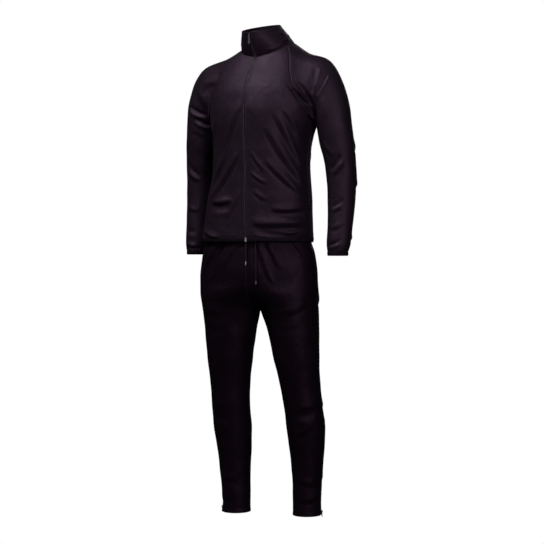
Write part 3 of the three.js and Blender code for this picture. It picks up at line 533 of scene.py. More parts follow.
# %% [markdown]
# A raglan jacket has two fronts and a back that run up to the neck between slanting seams, so it has
# no shoulder seam. Each panel is a grid whose columns go from one seam to the other at every height.

# %% Fronts and back
def front_place(across):
    """Angle and height of a front's points, from the zip (0) to the side or raglan seam (1)."""
    z, yoke = row_z[:, None], row_yoke[:, None]
    start = chain_angle(np.minimum(np.where(yoke > 0, yoke_height(yoke, 0), z), neck_height(0)))
    edge = np.where(yoke > 0, smooth(RAGLAN_FRONT, "angle", yoke_height(yoke, FRONT_NECK)), 90)
    angle = start + (edge - start) * across
    at_neck = start + (FRONT_NECK - start) * across
    return angle, np.where(yoke > 0, yoke_height(yoke, at_neck), z + 0 * across)


def back_place(across):
    """The same for the back, from the wearer's left seam (-1) to the right one (1)."""
    z, yoke = row_z[:, None], row_yoke[:, None]
    edge = np.where(yoke > 0, smooth(RAGLAN_BACK, "angle", yoke_height(yoke, 180 - BACK_NECK)), 90)
    height = yoke_height(yoke, 180 - BACK_NECK * np.abs(across))
    return 180 + edge * across, np.where(yoke > 0, height, z + 0 * across)


FRONT_COLUMNS, BACK_COLUMNS = 96, 170
cloth_pieces = {}
for name, side in (("left", 1), ("right", -1)):
    across = np.linspace(0, 1, FRONT_COLUMNS)[None, :]
    angle, z = front_place(across if side > 0 else 1 - across)
    rows = torso(side * angle, z)
    edges = {"start": "roll", "end": "seam"} if side > 0 else {"start": "seam", "end": "roll"}
    piece = sewn("front_" + name, rows, {**edges, "bottom": "seam", "top": "seam"})
    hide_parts("jacket_front_" + name)
    cloth_pieces[piece.name] = piece

angle, z = back_place(np.linspace(-1, 1, BACK_COLUMNS)[None, :])
back = sewn("back", torso(angle, z), dict.fromkeys(("start", "end", "bottom", "top"), "seam"))
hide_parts("jacket_back")
cloth_pieces["back"] = back

# %% [markdown]
# A raglan sleeve is one tube. Its top end follows the slanting seams and a short piece of the neck,
# and its lower end is gathered into the cuff. Each column of the grid is a smooth line that starts on
# the seam, leaves the body outwards and passes through the sections of the arm down to the cuff.

# %% Sleeves
SLEEVE = table("""
    z    x   y  tip tall deep
    -150 198 36 78  104  63
    -213 225 38 56  80   58
    -290 235 42 22  56   53
    -350 243.5 47 4 49.5 49
    -410 248.5 51 0 46.5 47
    -470 250 47 0   42.5 44
    -550 251 37 0   38.5 40
    -610 250 27 0   36   37
    -632 249 23 0   31.5 33
""")
# shifts of each sleeve's shoulder, neck end and cuff, because the two arms hang a little differently
SHOULDER_LIFT = {"left": -6, "right": -10}
SHOULDER_REACH = {"left": -5, "right": 9}
NECK_LIFT = {"left": -7, "right": -3}
CUFF_DROP = {"left": -7, "right": 0}
SHOULDER_FROM, CUFF_FROM, FADE = -350, -410, 200  # heights where these shifts begin, and their reach
UNDERARM_OUT = 9  # the sleeve stands off the body under the arm
STRAIGHT_BELOW = UNDERARM + 60  # rows wholly below this run straight across the sleeve
LEAVING = 0.4  # share of the way from the seam to the first section
BACK_OF_SLEEVE = """
        190   -300 260 -340 6   11   3.5  0.7
        180   -420 280 -440 6   10   3.0  0.7
        180   -590 300 -600 5   8    3.0  0.7
"""
SLEEVE_FOLDS = {
    "left": table("""
        start z    end foot bow wide high lean
        70    -140 54  -194 1   2.2  -8.0 1.0
        88    -124 60  -200 2   2.2  -7.5 1.0
        130   -78  70  -176 2   2.0  -7.0 1.0
        138   -102 88  -164 2   2.0  -6.0 1.0
        70    -160 30  -244 4   16   -6.0 1.0
        58    -200 34  -262 2   6    -3.5 1.0
        120   -346 74  -394 5   6    -5.0 1.0
        124   -366 84  -408 5   8    3.5  0.7
        60    -306 96  -352 4   9    2.5  0.7
        130   -478 66  -505 5   6    -3.5 1.0
        120   -496 70  -516 4   8    3.0  0.7
        130   -552 60  -566 4   9    2.5  0.7
        130   -602 50  -620 4   6    -3.5 1.0
    """ + BACK_OF_SLEEVE),
    "right": table("""
        start z    end foot bow wide high lean
        108   -74  82  -132 3   6    -9.0 1.0
        102   -108 52  -178 4   6    -9.0 1.0
        122   -172 54  -208 5   6    -7.0 1.0
        92    -212 36  -240 3   6    -6.0 1.0
        110   -240 44  -270 4   9    1.5  0.7
        120   -352 60  -398 5   8    -4.0 1.0
        120   -372 70  -412 5   9    3.5  0.7
        130   -486 60  -504 5   8    3.0  0.7
        140   -560 60  -572 4   8    -2.5 1.0
        140   -604 50  -616 4   7    3.0  0.7
    """ + BACK_OF_SLEEVE),
}
SLEEVE_DEGREE = 0.8  # mean length of one degree round a sleeve
FRONT_SHARE, NECK_SHARE = 0.4, 0.2  # of the way round the sleeve's top


def raglan_loop(steps=70, neck_steps=14, back_steps=42):
    """The seam round the top of a sleeve: from the underarm up the front, along the neck and down the
    back, as angles and heights on the body, with the place round the sleeve of each."""
    up = np.arange(steps + 1) / steps
    share = np.arange(1, neck_steps) / neck_steps
    down = np.arange(back_steps, 0, -1) / back_steps
    front_z = yoke_height(up**CLOSER_LOW, FRONT_NECK)
    neck_angle = FRONT_NECK + (180 - BACK_NECK - FRONT_NECK) * share
    back_z = yoke_height(down**CLOSER_LOW, 180 - BACK_NECK)
    back_angle = 180 - smooth(RAGLAN_BACK, "angle", back_z)
    angle = np.concatenate([smooth(RAGLAN_FRONT, "angle", front_z), neck_angle, back_angle])
    z = np.concatenate([front_z, neck_height(neck_angle), back_z])
    round_ = np.concatenate([FRONT_SHARE * up, FRONT_SHARE + NECK_SHARE * share, 1 - FRONT_SHARE * down])
    return angle, z, round_


def sleeve(name, rows=230):
    """The sleeve's grid: rows from the cuff up to the raglan seam, columns round the arm."""
    side = 1 if name == "left" else -1
    angle, z, round_ = raglan_loop()
    turn = 2 * np.pi * round_
    seam = torso(side * angle, z, bare=True)
    step = torso(side * (angle + 0.5), z, bare=True) - torso(side * (angle - 0.5), z, bare=True)
    rise = torso(side * angle, z + 1, bare=True) - torso(side * angle, z - 1, bare=True)
    normal = unit(np.cross(step, rise)) * side
    sections = []
    for level_z, x, y, tip, tall, deep in list(zip(*SLEEVE.values()))[::-1]:
        tip = math.radians(tip)
        reach = -np.cos(turn) * tall
        fade = eased((level_z - SHOULDER_FROM) / FADE) * (1 - np.cos(turn)) / 2
        low = eased((CUFF_FROM - level_z) / FADE)
        sections.append(np.stack([
            side * (x + math.cos(tip) * reach + SHOULDER_REACH[name] * fade),
            y - deep * np.sin(turn),
            level_z + math.sin(tip) * reach + SHOULDER_LIFT[name] * fade + CUFF_DROP[name] * low,
        ], -1))
    leaving = seam + (sections[0] - seam) * LEAVING
    leaving += normal * (UNDERARM_OUT * np.maximum(0, np.cos(turn)) ** 2)[:, None]
    leaving[:, 2] += NECK_LIFT[name] * np.maximum(0, -np.cos(turn))
    rows_up = np.interp(np.linspace(0, 1, rows), [0, 0.55, 1], [1, 0.3, 0])  # closer near the shoulder
    return spline(np.array([seam, leaving, *sections]), rows_up), round_


for name in ("left", "right"):
    points, round_ = sleeve(name)
    mirrored = name == "right"
    normal = normals_of(points, True) * (-1 if mirrored else 1)
    high = fold_height(SLEEVE_FOLDS[name], 360 * round_[None, :], points[..., 2], SLEEVE_DEGREE)
    points = points + normal * high[..., None]
    below_shoulder = points[..., 2].max(1) < STRAIGHT_BELOW
    piece = sewn("sleeve_" + name + "_cloth", points, {"bottom": "seam", "top": "seam"}, closed=True,
                 mirrored=mirrored, level=below_shoulder)
    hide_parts("sleeve_" + name)
    cloth_pieces[piece.name] = piece

# %% [markdown]
# The stand collar is one band of folded cloth. Its foot follows the neck seam, its upper edge is a
# tipped oval that reaches forward, and between them it bulges a little. The fold along the upper edge
# shows as a low roll, and the side has a short crease where the neck bends.

# %% Collar
COLLAR = {"half": 52, "deep": 79, "y": -6, "front": 33, "back": 76, "bulge": 2.5}
COLLAR_COLUMNS, COLLAR_ROWS = 130, 44  # on each half, and from foot to fold
COLLAR_LAP = -0.014  # the foot's share of the height below the neck seam, so no light comes through
COLLAR_FOLDS = table("""
    start up end foot bow wide high lean
    50    22 118 50   6   6    3.2  0.7
    64    58 112 76   4   5    2.0  0.7
    -40   30 -98 52   5   6    2.2  0.7
    20    12 60  16   3   5    1.6  0.8
    140   40 176 52   4   8    1.5  0.8
""")


def collar(angle, up):
    """A point of the collar: degrees round the neck and the share of its height. It goes in a straight
    line from the neck seam to the upper oval, with a sine bulge between."""
    start = chain_angle(neck_height(0))
    first = np.degrees(np.arcsin(CHAIN_SPACE / COLLAR["half"]))
    a = np.abs(angle)
    turned = np.where(a < start, a * first / start, 180 - (180 - a) / (180 - start) * (180 - first))
    turned = np.radians(turned) * np.sign(angle)
    s, c = np.sin(turned), np.cos(turned)
    foot = torso(angle, neck_height(angle), bare=True)
    tilt = (COLLAR["front"] + COLLAR["back"]) / 2 - c * (COLLAR["back"] - COLLAR["front"]) / 2
    edge = np.stack(np.broadcast_arrays(COLLAR["half"] * s, COLLAR["y"] - COLLAR["deep"] * c, tilt), -1)
    bulge = COLLAR["bulge"] * np.sin(np.pi * up)
    lean = np.stack(np.broadcast_arrays(s * bulge, -c * bulge, 0 * bulge), -1)
    return foot + (edge - foot) * np.asarray(up)[..., None] + lean


start = float(chain_angle(neck_height(0)))
half_turn = start + (180 - start) * np.linspace(0, 1, COLLAR_COLUMNS)
round_angles = np.concatenate([half_turn, -half_turn[-2::-1]])[None, :]
up = np.linspace(COLLAR_LAP, 1, COLLAR_ROWS)[:, None]
points = collar(round_angles, up)
high = fold_height(COLLAR_FOLDS, round_angles, 100 * up, 1.0)
points = points + normals_of(points) * high[..., None]
edges = {"bottom": "seam", "top": "hem", "start": "roll", "end": "roll"}
collar_piece = sewn("collar_cloth", points, edges, dip=1.3, swell=0.35)
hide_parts("collar")
cloth_pieces["collar_cloth"] = collar_piece

# %% [markdown]
# The trousers have a front and a back panel to each leg. Above the crotch a leg's section is cut off
# by the middle line, where the rise seam runs, and below it closes on itself at the inner leg seam.
# The rows fan out near the crotch, so that both seams keep whole rows.

# %% Trouser legs
RISE_TOP, FORK_OUTER, THIGH_FOOT = -700, -850, -966
LEG_FOLDS = {
    "left": table("""
        start z     end foot  bow wide high lean
        20    -596  32  -690  4   9    7.0  0.6
        11    -606  23  -738  4   8    5.6  0.6
        44    -598  58  -660  4   9    3.5  0.7
        2     -770  50  -742  6   12   1.0  0.7
        0     -822  58  -786  8   14   1.8  0.7
        -20   -862  40  -846  8   14   1.2  0.7
        0     -1110 70  -1102 4   12   1.8  0.7
        -16   -1138 56  -1130 4   12   -3.0 1.0
        -30   -1196 40  -1168 6   12   2.0  0.7
        -40   -1330 60  -1346 8   14   2.0  0.6
        -20   -1398 80  -1382 8   14   2.0  0.6
        96    -770  170 -812  10  14   3.5  0.7
        100   -1100 200 -1128 10  13   4.0  0.6
        110   -1160 190 -1142 8   13   4.0  0.6
        100   -1330 200 -1352 8   13   3.0  0.6
    """),
    "right": table("""
        start z     end foot  bow wide high lean
        27    -596  46  -716  4   10   -7.0 1.0
        37    -602  58  -700  4   9    5.6  0.7
        12    -604  26  -690  4   9    4.2  0.7
        6     -760  50  -736  6   12   1.0  0.7
        0     -822  58  -790  8   14   1.8  0.7
        -20   -866  44  -850  8   14   1.2  0.7
        -10   -1104 64  -1118 6   12   2.2  0.7
        -20   -1152 60  -1140 6   12   -1.8 1.0
        -40   -1340 60  -1326 8   14   2.0  0.6
        -20   -1392 80  -1404 8   14   2.0  0.6
        96    -770  170 -812  10  14   3.5  0.7
        100   -1108 200 -1124 10  13   4.0  0.6
        110   -1166 190 -1150 8   13   4.0  0.6
        100   -1338 200 -1350 8   13   3.0  0.6
    """),
}
LEG_DEGREE = 2.6  # what one degree counts for in the folds of a leg
ZIP_CLOSING = 10  # height in which the slit above an ankle zip closes to a seam


def leg(name, angle, z):
    """A point of a leg. Its section is an ellipse between the inner and the outer side, measured from
    the middle line, and is cut off where it would cross that line."""
    outer, inner = smooth(TROUSERS, "outer", z), smooth(TROUSERS, "inner", z)
    c = np.cos(np.radians(angle))
    out = fold_height(LEG_FOLDS[name], angle, z, LEG_DEGREE)
    across = (outer + inner) / 2 + ((outer - inner) / 2 + out) * np.sin(np.radians(angle))
    deep = np.where(c > 0, smooth(TROUSERS, "front", z), smooth(TROUSERS, "back", z)) + out
    side = 1 if name == "left" else -1
    return placed(TROUSERS, side * np.maximum(across, SEAM_GAP / 2), -c * deep, z)


def inner_angle(z):
    """Where a leg's front meets the middle line, or the inner leg seam below the crotch."""
    outer, inner = smooth(TROUSERS, "outer", z), smooth(TROUSERS, "inner", z)
    return -np.degrees(np.arcsin(np.clip((outer + inner) / np.maximum(outer - inner, 1), 0, 1)))


def zip_angle(z):
    """Half the width of the opening for the ankle zip, closed to a seam above the zip."""
    space = CHAIN_SPACE * eased((ANKLE_ZIP_TOP + ZIP_CLOSING - z) / ZIP_CLOSING) + SEAM_GAP / 2
    return np.degrees(space / smooth(TROUSERS, "front", z))


def leg_rows():
    """Heights of the rows at the outer and the inner seam, from the hem up to the waist seam."""
    shin = np.linspace(ANKLE_HEM, THIGH_FOOT, 165)
    thigh = np.linspace(0, 1, 42)[1:]
    rise = np.linspace(1, 0, 56)[1:]
    hip = np.linspace(RISE_TOP, WAIST_SEAM, 46)[1:]
    columns = []
    for fork, up in ((FORK_OUTER, rise), (CROTCH, np.sin(rise * np.pi / 2))):
        above, below = RISE_TOP + (fork - RISE_TOP) * up, THIGH_FOOT + (fork - THIGH_FOOT) * thigh
        columns.append(np.concatenate([shin, below, above, hip])[:, None])
    return columns


LEG_COLUMNS = 58
outer_z, inner_z = leg_rows()
share = np.linspace(0, 1, LEG_COLUMNS)[None, :]
for name in ("left", "right"):
    for face in ("front", "back"):
        z = inner_z + (outer_z - inner_z) * share
        turn = inner_angle(inner_z) + (90 - zip_angle(outer_z) - inner_angle(inner_z)) * share
        points = leg(name, turn if face == "front" else 180 - turn, z)
        piece = sewn(
            "trousers_%s_%s" % (face, name), points,
            {"start": "seam", "end": "seam", "top": "seam", "bottom": "hem"},
            mirrored=(name == "right") != (face == "back"), dip=0.8, swell=0.6,
        )
        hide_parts("trouser_%s_%s" % (face, name))
        cloth_pieces[piece.name] = piece

# %% [markdown]
# The hem of the jacket and both cuffs are bound with a folded elastic strip, which pulls the cloth in
# and puckers as it does. The waistband is the same thing, wider, with its elastic sewn in rows. Each
# is a flat rounded profile carried along a ring, and its thickness swells between the puckers. The
# bindings lap a little over the edge of the cloth, as sewn ones do.

# %% Bindings and waistband
BAND = {"thick": 2.6, "pucker": 0.9, "pitch": 7}
WAIST = {"thick": 3.0, "pucker": 1.0, "pitch": 8, "sides": 40, "rows": 3}
LAP = np.array([0, 0, 1.2])  # a binding laps over the edge of the cloth
CUFF = {"x": 249, "y": 23, "wide": 31.2, "deep": 32.7}
CUFF_GRIP = 0.8  # the cuff's edge is this much narrower than its seam all round
SEWN_IN, ROW_WIDE = 0.5, 0.25  # depth of a row of sewing, and the size of the cosine inside it
UNEVEN = ((2.3, 31), (0.7, 7.3))  # slower waves, height and length, that shift the puckers
PROUD = 0.5  # a binding stands this far out of the cloth
HEM_STEPS, CUFF_STEPS, WAIST_STEPS = 420, 140, 400


def outwards(points, closed):
    """Out directions at each point of a ring that lies nearly level."""
    along = np.roll(points, -1, 0) - np.roll(points, 1, 0) if closed else np.gradient(points, axis=0)
    return unit(np.cross(unit(along), [0, 0, 1.0]))


def binding(name, foot, head, thick, pucker, pitch, sides=20, closed=False, rows=0):
    """A flat rounded strip between two rings of points. Its section is an oval with nearly square
    corners, and the outer face swells by pucker between pulls that are pitch apart. rows is the
    number of lines of sewing along it, which press it in."""
    middle = (foot + head) / 2
    out = outwards(middle, closed)
    tall = np.linalg.norm(head - foot, axis=-1)[:, None, None] / 2
    turn = np.linspace(0, 2 * np.pi, sides, endpoint=False)[None, :, None]
    c, s = np.cos(turn), np.sin(turn)
    rounded = (np.abs(c) ** 4 + np.abs(s) ** 4) ** -0.25
    far = lengths(middle[:, None], 0)
    shift = sum(high * np.sin(far / long) for high, long in UNEVEN)
    wave = np.sin(2 * np.pi * far / pitch + shift)[..., None]
    face = thick / 2 + pucker * (wave * 0.5 + 0.2) * (s > 0.3)
    if rows:
        face = face - SEWN_IN * (np.abs(np.cos(c * rounded * np.pi * (rows + 1) / 2)) < ROW_WIDE)
    lift = (head - foot)[:, None] / 2
    points = middle[:, None] + lift * c * rounded + out[:, None] * (s * rounded * face - thick / 2 + PROUD)
    rim = np.linspace(0, 2 * tall.mean() + 2 * thick, sides + 1)
    ring = np.broadcast_to(far, (len(far), sides + 1))
    uv = np.stack([np.broadcast_to(rim, ring.shape), ring], -1) * MM
    if closed:
        points = np.concatenate([points, points[:1]])
        step = np.linalg.norm(middle[0] - middle[-1])
        uv = np.concatenate([uv, uv[-1:] + [0, step * MM]])
    else:
        first, last = points[:1].mean(1, keepdims=True), points[-1:].mean(1, keepdims=True)
        points = np.concatenate([first + 0 * points[:1], points, last + 0 * points[-1:]])
        uv = np.concatenate([uv[:1], uv, uv[-1:]])
    piece = grid_mesh(name, points, uv, closed=True)
    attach(piece, BODY)
    print(name, "round", round(float(far[-1, 0])), "mm")
    return piece


def body_ring(z):
    """The ring of the jacket's body at a height, open at the zip."""
    gap = float(chain_angle(z))
    return torso(np.linspace(gap, 360 - gap, HEM_STEPS), z, bare=True)


trims = {}
trims["hem_binding"] = binding("hem_binding", body_ring(HEM_EDGE), body_ring(HEM_SEAM) + LAP, **BAND)
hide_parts("hem_band")
for name, side in (("left", 1), ("right", -1)):
    turn = np.linspace(0, 2 * np.pi, CUFF_STEPS, endpoint=False)
    across, along = CUFF["wide"] * np.sin(turn), CUFF["y"] - CUFF["deep"] * np.cos(turn)
    ring = np.stack([side * (CUFF["x"] + across), along, 0 * turn], -1)[::side]
    foot, head = (ring + [0, 0, z + CUFF_DROP[name]] for z in (CUFF_EDGE, CUFF_SEAM))
    foot = foot - outwards(foot, True) * CUFF_GRIP
    piece = binding("cuff_binding_" + name, foot, head + LAP, closed=True, **BAND)
    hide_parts("cuff_" + name)
    trims[piece.name] = piece

angle = np.linspace(0, 2 * np.pi, WAIST_STEPS, endpoint=False)
rings = []
for z in (WAIST_SEAM, WAIST_TOP):
    c = np.cos(angle)
    deep = np.where(c > 0, smooth(TROUSERS, "front", z), smooth(TROUSERS, "back", z))
    rings.append(placed(TROUSERS, smooth(TROUSERS, "outer", z) * np.sin(angle), -c * deep, z))
waistband = binding("waist_elastic", *rings, closed=True, **WAIST)
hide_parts("waistband")
trims["waist_elastic"] = waistband

# %% [markdown]
# A zip is two woven tapes, and along the inner edge of each a row of teeth that mesh with those of the
# other. A tooth is a short bar with a rounded head. One tooth is worked out as a few points, and all
# of them are placed at once by adding those points in the directions of the zip at every pitch.

# %% Zips
TOOTH_PITCH = 2.1
TOOTH = {"root": -2.5, "head": 0.75, "tall": 0.62, "deep": 1.0}
TOOTH_OUT = -0.7  # the middle of the teeth lies a little under the face of the cloth
TAPE_HALF, TAPE_WALL = 8, 0.7
TAPE_BACK = -(WALL + 0.9)
SIDEWAYS = np.array([0.985, 0.174, 0])  # out from the wearer's left leg


def tooth_points():
    """A tooth along its own axes: across from the root to the head, up the zip, and out. Four six-
    sided sections, full at the head and narrow behind it."""
    at = np.array([TOOTH["root"], -0.5, 0.2, TOOTH["head"]])
    size = np.array([1.0, 0.72, 1.12, 0.6])
    turn = np.radians([0, 60, 120, 180, 240, 300])
    up = np.cos(turn)[None] * size[:, None] * TOOTH["tall"]
    out = np.sin(turn)[None] * size[:, None] * TOOTH["deep"]
    return np.stack([np.broadcast_to(at[:, None], up.shape), up, out], -1).reshape(-1, 3)


def tooth_faces():
    """Squares between the four sections, and the two end faces."""
    squares = [(6 * k + j, 6 * k + (j + 1) % 6, 6 * k + 6 + (j + 1) % 6, 6 * k + 6 + j)
               for k in range(3) for j in range(6)]
    ends = [(5, 4, 3, 2), (5, 2, 1, 0), (18, 19, 20, 21), (18, 21, 22, 23)]
    return np.array(squares + ends)


def zipper(name, line, away, node):
    """Teeth and tape along a line of surface points, with a direction that points away from them.
    Neighbouring teeth are half a pitch apart and belong to the two sides in turn."""
    along, side, out = frames_along(line, np.broadcast_to(away, line.shape))
    far = lengths(line[:, None], 0)[:, 0]
    stations = np.arange(TOOTH_PITCH / 2, far[-1], TOOTH_PITCH / 2)

    def at(values):
        """The values of the line at the teeth, each in a straight line between its neighbours."""
        return np.stack([np.interp(stations, far, values[:, k]) for k in range(3)], -1)

    middle, up, across, face = at(line), unit(at(along)), unit(at(side)), unit(at(out))
    hand = np.where(np.arange(len(stations)) % 2, 1.0, -1.0)[:, None, None]
    tooth = tooth_points()
    points = (
        middle[:, None] + face[:, None] * (tooth[None, :, 2:] + TOOTH_OUT)
        + across[:, None] * hand * tooth[None, :, :1] + up[:, None] * tooth[None, :, 1:2] * hand
    )
    first = len(tooth) * np.arange(len(stations))[:, None, None]
    faces = (tooth_faces()[None] + first).reshape(-1, 4)
    mesh = bpy.data.meshes.new(name + "_teeth")
    mesh.from_pydata((points.reshape(-1, 3) * MM).tolist(), [], faces.tolist())
    teeth = linked(name + "_teeth", mesh)
    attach(teeth, BODY)
    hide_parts(node)

    width = np.linspace(-TAPE_HALF, TAPE_HALF, 17)[None, :, None]
    rows = line[:, None] + side[:, None] * width + out[:, None] * TAPE_BACK
    uv = np.stack(np.meshgrid(width.ravel(), far), -1) * MM
    tape = grid_mesh(name + "_tape", rows, uv, flip=True)
    thicken(tape, TAPE_WALL)
    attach(tape, BODY)
    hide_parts(node)
    print(name, "length", round(far[-1]), "mm, teeth", len(stations))
    return teeth, tape


def zip_line():
    """The middle of the front zip: up the body from just above the hem to just under the neck seam, then
    up the collar from 5 to 96 percent of its height. Three rounds of averages with the neighbouring
    points ease the turn at the neck."""
    z = np.linspace(HEM_SEAM + 1, neck_height(0) - 4, 300)
    body = torso(0 * z, z, bare=True)
    up = np.linspace(0.05, 0.96, 60)
    line = np.concatenate([body, collar(0 * up, up)])
    for _ in range(3):
        line[1:-1] = (line[:-2] + 2 * line[1:-1] + line[2:]) / 4
    return line


zips = [zipper("front_zipper", zip_line(), np.array([0.06, -1.0, 0]), "front_zip")]
for name, side in (("left", 1), ("right", -1)):
    line = leg(name, 90.0, np.linspace(ANKLE_HEM + 3, ANKLE_ZIP_TOP - 4, 60))
    zips.append(zipper("ankle_zipper_" + name, line, side * SIDEWAYS, "ankle_zip_" + name))

# %% [markdown]
# A finish is a network of small nodes that feed one shader. The class below adds a node at a time: soft
# noise, ridges, sums, mixed colours and relief. All of them are worked out from the piece's own
# coordinates or from its flat maps, so no picture is needed and the pattern keeps its real size.

# %% Helpers for materials
NOISE_LOW, NOISE_HIGH = 0.3, 0.7  # soft noise seldom leaves this range


class Finish:
    """A material with its nodes: each method adds one node and returns its output."""

    def __init__(self, name):
        """A new material, with the shader it starts with and the object's own coordinates."""
        self.material = bpy.data.materials.new(name)
        self.material.use_nodes = True
        self.tree = self.material.node_tree
        self.shader = self.tree.nodes["Principled BSDF"]
        self.coordinates = self.node("TexCoord", "Object")

    def feed(self, socket, value):
        """Links an output to a socket, or sets a number or colour on it."""
        if isinstance(value, bpy.types.NodeSocket):
            self.tree.links.new(value, socket)
        elif value is not None:
            colour = isinstance(value, tuple) and socket.type == "RGBA" and len(value) == 3
            socket.default_value = (*value, 1) if colour else value

    def node(self, kind, output, settings=None, **inputs):
        """A node of a kind, with its settings and its inputs by name, underscores for spaces."""
        node = self.tree.nodes.new("ShaderNode" + kind)
        for name, value in (settings or {}).items():
            setattr(node, name, value)
        for name, value in inputs.items():
            self.feed(node.inputs[name.replace("_", " ")], value)
        return node.outputs[output]

    def surface_map(self, layer):
        """The piece's own flat map, and its x and y in metres."""
        flat = self.node("UVMap", "UV", {"uv_map": layer})
        return flat, *(self.node("SeparateXYZ", axis, Vector=flat) for axis in "XY")

    def math(self, kind, *values):
        """One sum on one, two or three numbers."""
        total = self.node("Math", 0, {"operation": kind})
        for socket, value in zip(total.node.inputs, values):
            self.feed(socket, value)
        return total

    def noise(self, scale, detail=3.0, rough=0.5, vector=None, stretch=None):
        """Soft noise, on the object's coordinates unless another vector is given."""
        vector = vector or self.coordinates
        if stretch:
            vector = self.node("Mapping", "Vector", Vector=vector, Scale=stretch)
        return self.node("TexNoise", "Fac", Vector=vector, Scale=scale, Detail=detail, Roughness=rough)

    def ridges(self, vector, direction, pitch, waver=0.0):
        """Rounded ridges of a pitch in metres, across the x or the y of a map."""
        return self.node("TexWave", "Fac", {"bands_direction": direction}, Vector=vector,
                         Scale=math.pi / (10 * pitch), Distortion=waver, Detail_Scale=0.2 / pitch)

    def spread(self, value, low, high):
        """A value carried from the usual range of soft noise to another range."""
        return self.node("MapRange", "Result", Value=value, From_Min=NOISE_LOW, From_Max=NOISE_HIGH,
                         To_Min=low, To_Max=high)

    def mixed(self, share, a, b):
        """Two colours mixed by a share."""
        return self.node("Mix", "Result", {"data_type": "RGBA"}, Factor=share, A=a, B=b)

    def bump(self, height, depth, before=None):
        """Relief of a depth in metres, laid over the relief before it."""
        return self.node("Bump", "Normal", Strength=1.0, Distance=depth, Height=height, Normal=before)

    def finish(self, **sockets):
        """Sets the shader's sockets by name, with spaces for underscores."""
        for name, value in sockets.items():
            self.feed(self.shader.inputs[name.replace("_", " ")], value)
        return self.material


# %% [markdown]
# The cloth is a smooth black polyester knit with a faint purple cast and a soft sheen. Fine upright
# wales and shorter courses are a bump on the cut map, so they run with the cloth. The yarn, the dye
# and the shine vary slowly, and small creases lie in the surface between the modelled folds. Along
# every seam runs a row of stitches, drawn on the map that measures from the seam.

# %% Knitted cloth
WALE, COURSE = 0.0012, 0.0009
TINT = (1.0, 0.62, 1.0)  # purple cast of the shine
SHEEN_TINT, SHEEN_ROUGH = (0.95, 0.60, 0.98), 0.35
STITCH_LONG, STITCH_OFF, STITCH_HALF = 0.0027, 0.0030, 0.0004
STITCH_SHOWN = 0.72  # share of a stitch that lies on the face of the cloth
THREAD, THREAD_SHARE = (0.045, 0.040, 0.046), 0.6
CLOTH_ROUGH = 0.52
DYE, YARN, SHINE, CREASES, SMALL_CREASES = 7.0, 900.0, 15.0, 26.0, 70.0  # scales of the soft noises
CREASE_DEEP, SMALL_CREASE_DEEP, KNIT_DEEP, STITCH_DEEP = 0.0022, 0.0006, 0.00012, 0.00035


def knitted(name, dark, light, gloss, shine):
    """Black knit between two tones, with its gloss and the amount of its sheen. A stitch shows where
    the distance from the seam is near the row's and the fraction of its length is low."""
    cloth = Finish(name)
    cut, _, _ = cloth.surface_map("cut")
    _, along, rim = cloth.surface_map("stitch")
    tone = cloth.mixed(cloth.spread(cloth.noise(DYE, 4.0), 0.2, 0.8), dark, light)
    yarn = cloth.noise(YARN, 1.0, vector=cut, stretch=(1.0, 0.25, 1.0))
    tone = cloth.mixed(cloth.math("MULTIPLY", cloth.spread(yarn, 0.0, 0.5), 0.35), tone, light)
    dash = cloth.math("FRACT", cloth.math("DIVIDE", along, STITCH_LONG))
    beside = cloth.math("ABSOLUTE", cloth.math("SUBTRACT", rim, STITCH_OFF))
    in_row = cloth.math("LESS_THAN", beside, STITCH_HALF)
    thread = cloth.math("MULTIPLY", in_row, cloth.math("LESS_THAN", dash, STITCH_SHOWN))
    tone = cloth.mixed(cloth.math("MULTIPLY", thread, THREAD_SHARE), tone, THREAD)
    knit = cloth.math("MULTIPLY", cloth.ridges(cut, "X", WALE, 0.6), cloth.ridges(cut, "Y", COURSE, 0.8))
    relief = cloth.bump(cloth.noise(CREASES, 3.0, 0.45), CREASE_DEEP)
    relief = cloth.bump(cloth.noise(SMALL_CREASES, 3.0, 0.5), SMALL_CREASE_DEEP, relief)
    relief = cloth.bump(knit, KNIT_DEEP, relief)
    relief = cloth.bump(thread, STITCH_DEEP, relief)
    roughness = cloth.spread(cloth.noise(SHINE, 3.0), CLOTH_ROUGH - 0.05, CLOTH_ROUGH + 0.06)
    return cloth.finish(
        Base_Color=tone, Roughness=roughness, Normal=relief, Specular_IOR_Level=gloss,
        Specular_Tint=TINT, Sheen_Weight=shine, Sheen_Roughness=SHEEN_ROUGH, Sheen_Tint=SHEEN_TINT,
    )


jacket_cloth = knitted("jacket_knit", (0.0105, 0.0062, 0.0108), (0.0158, 0.0096, 0.0162), 0.40, 0.03)
# the trouser knit is darker than the jacket's, partly its own darker cloth and partly painted shade for
# the less lit lower body
trouser_cloth_with_painted_shade = knitted("trouser_knit", (0.0044, 0.0014, 0.0042), (0.0078, 0.0030, 0.0073), 0.26, 0.01)
for name, piece in cloth_pieces.items():
    trousers = name.startswith("trousers")
    piece.data.materials.append(trouser_cloth_with_painted_shade if trousers else jacket_cloth)
print("cloth pieces:", len(cloth_pieces))

# %% [markdown]
# The bindings are ribbed elastic, a little duller than the cloth, with painted shade in the grooves
# between the ribs. The tapes of the zips are woven in a twill, with painted shade in its hollows, the
# teeth are black moulded plastic with some gloss, painted a lighter grey as a painted highlight, and
# the cords are braided, with painted shade between the strands. The sliders, pulls, box and cord tips
# are plated metal, brushed and rubbed brighter in places by fingers.

# %% Elastic, tape, teeth, braid and metal
TURN = 2 * math.pi
RIB_PITCH, TWILL_PITCH, WEFT_PITCH, BRAID_PITCH = 0.0016, 0.0011, 0.0008, 0.0045
BRAID_STRANDS = 4  # round the cord, in each direction


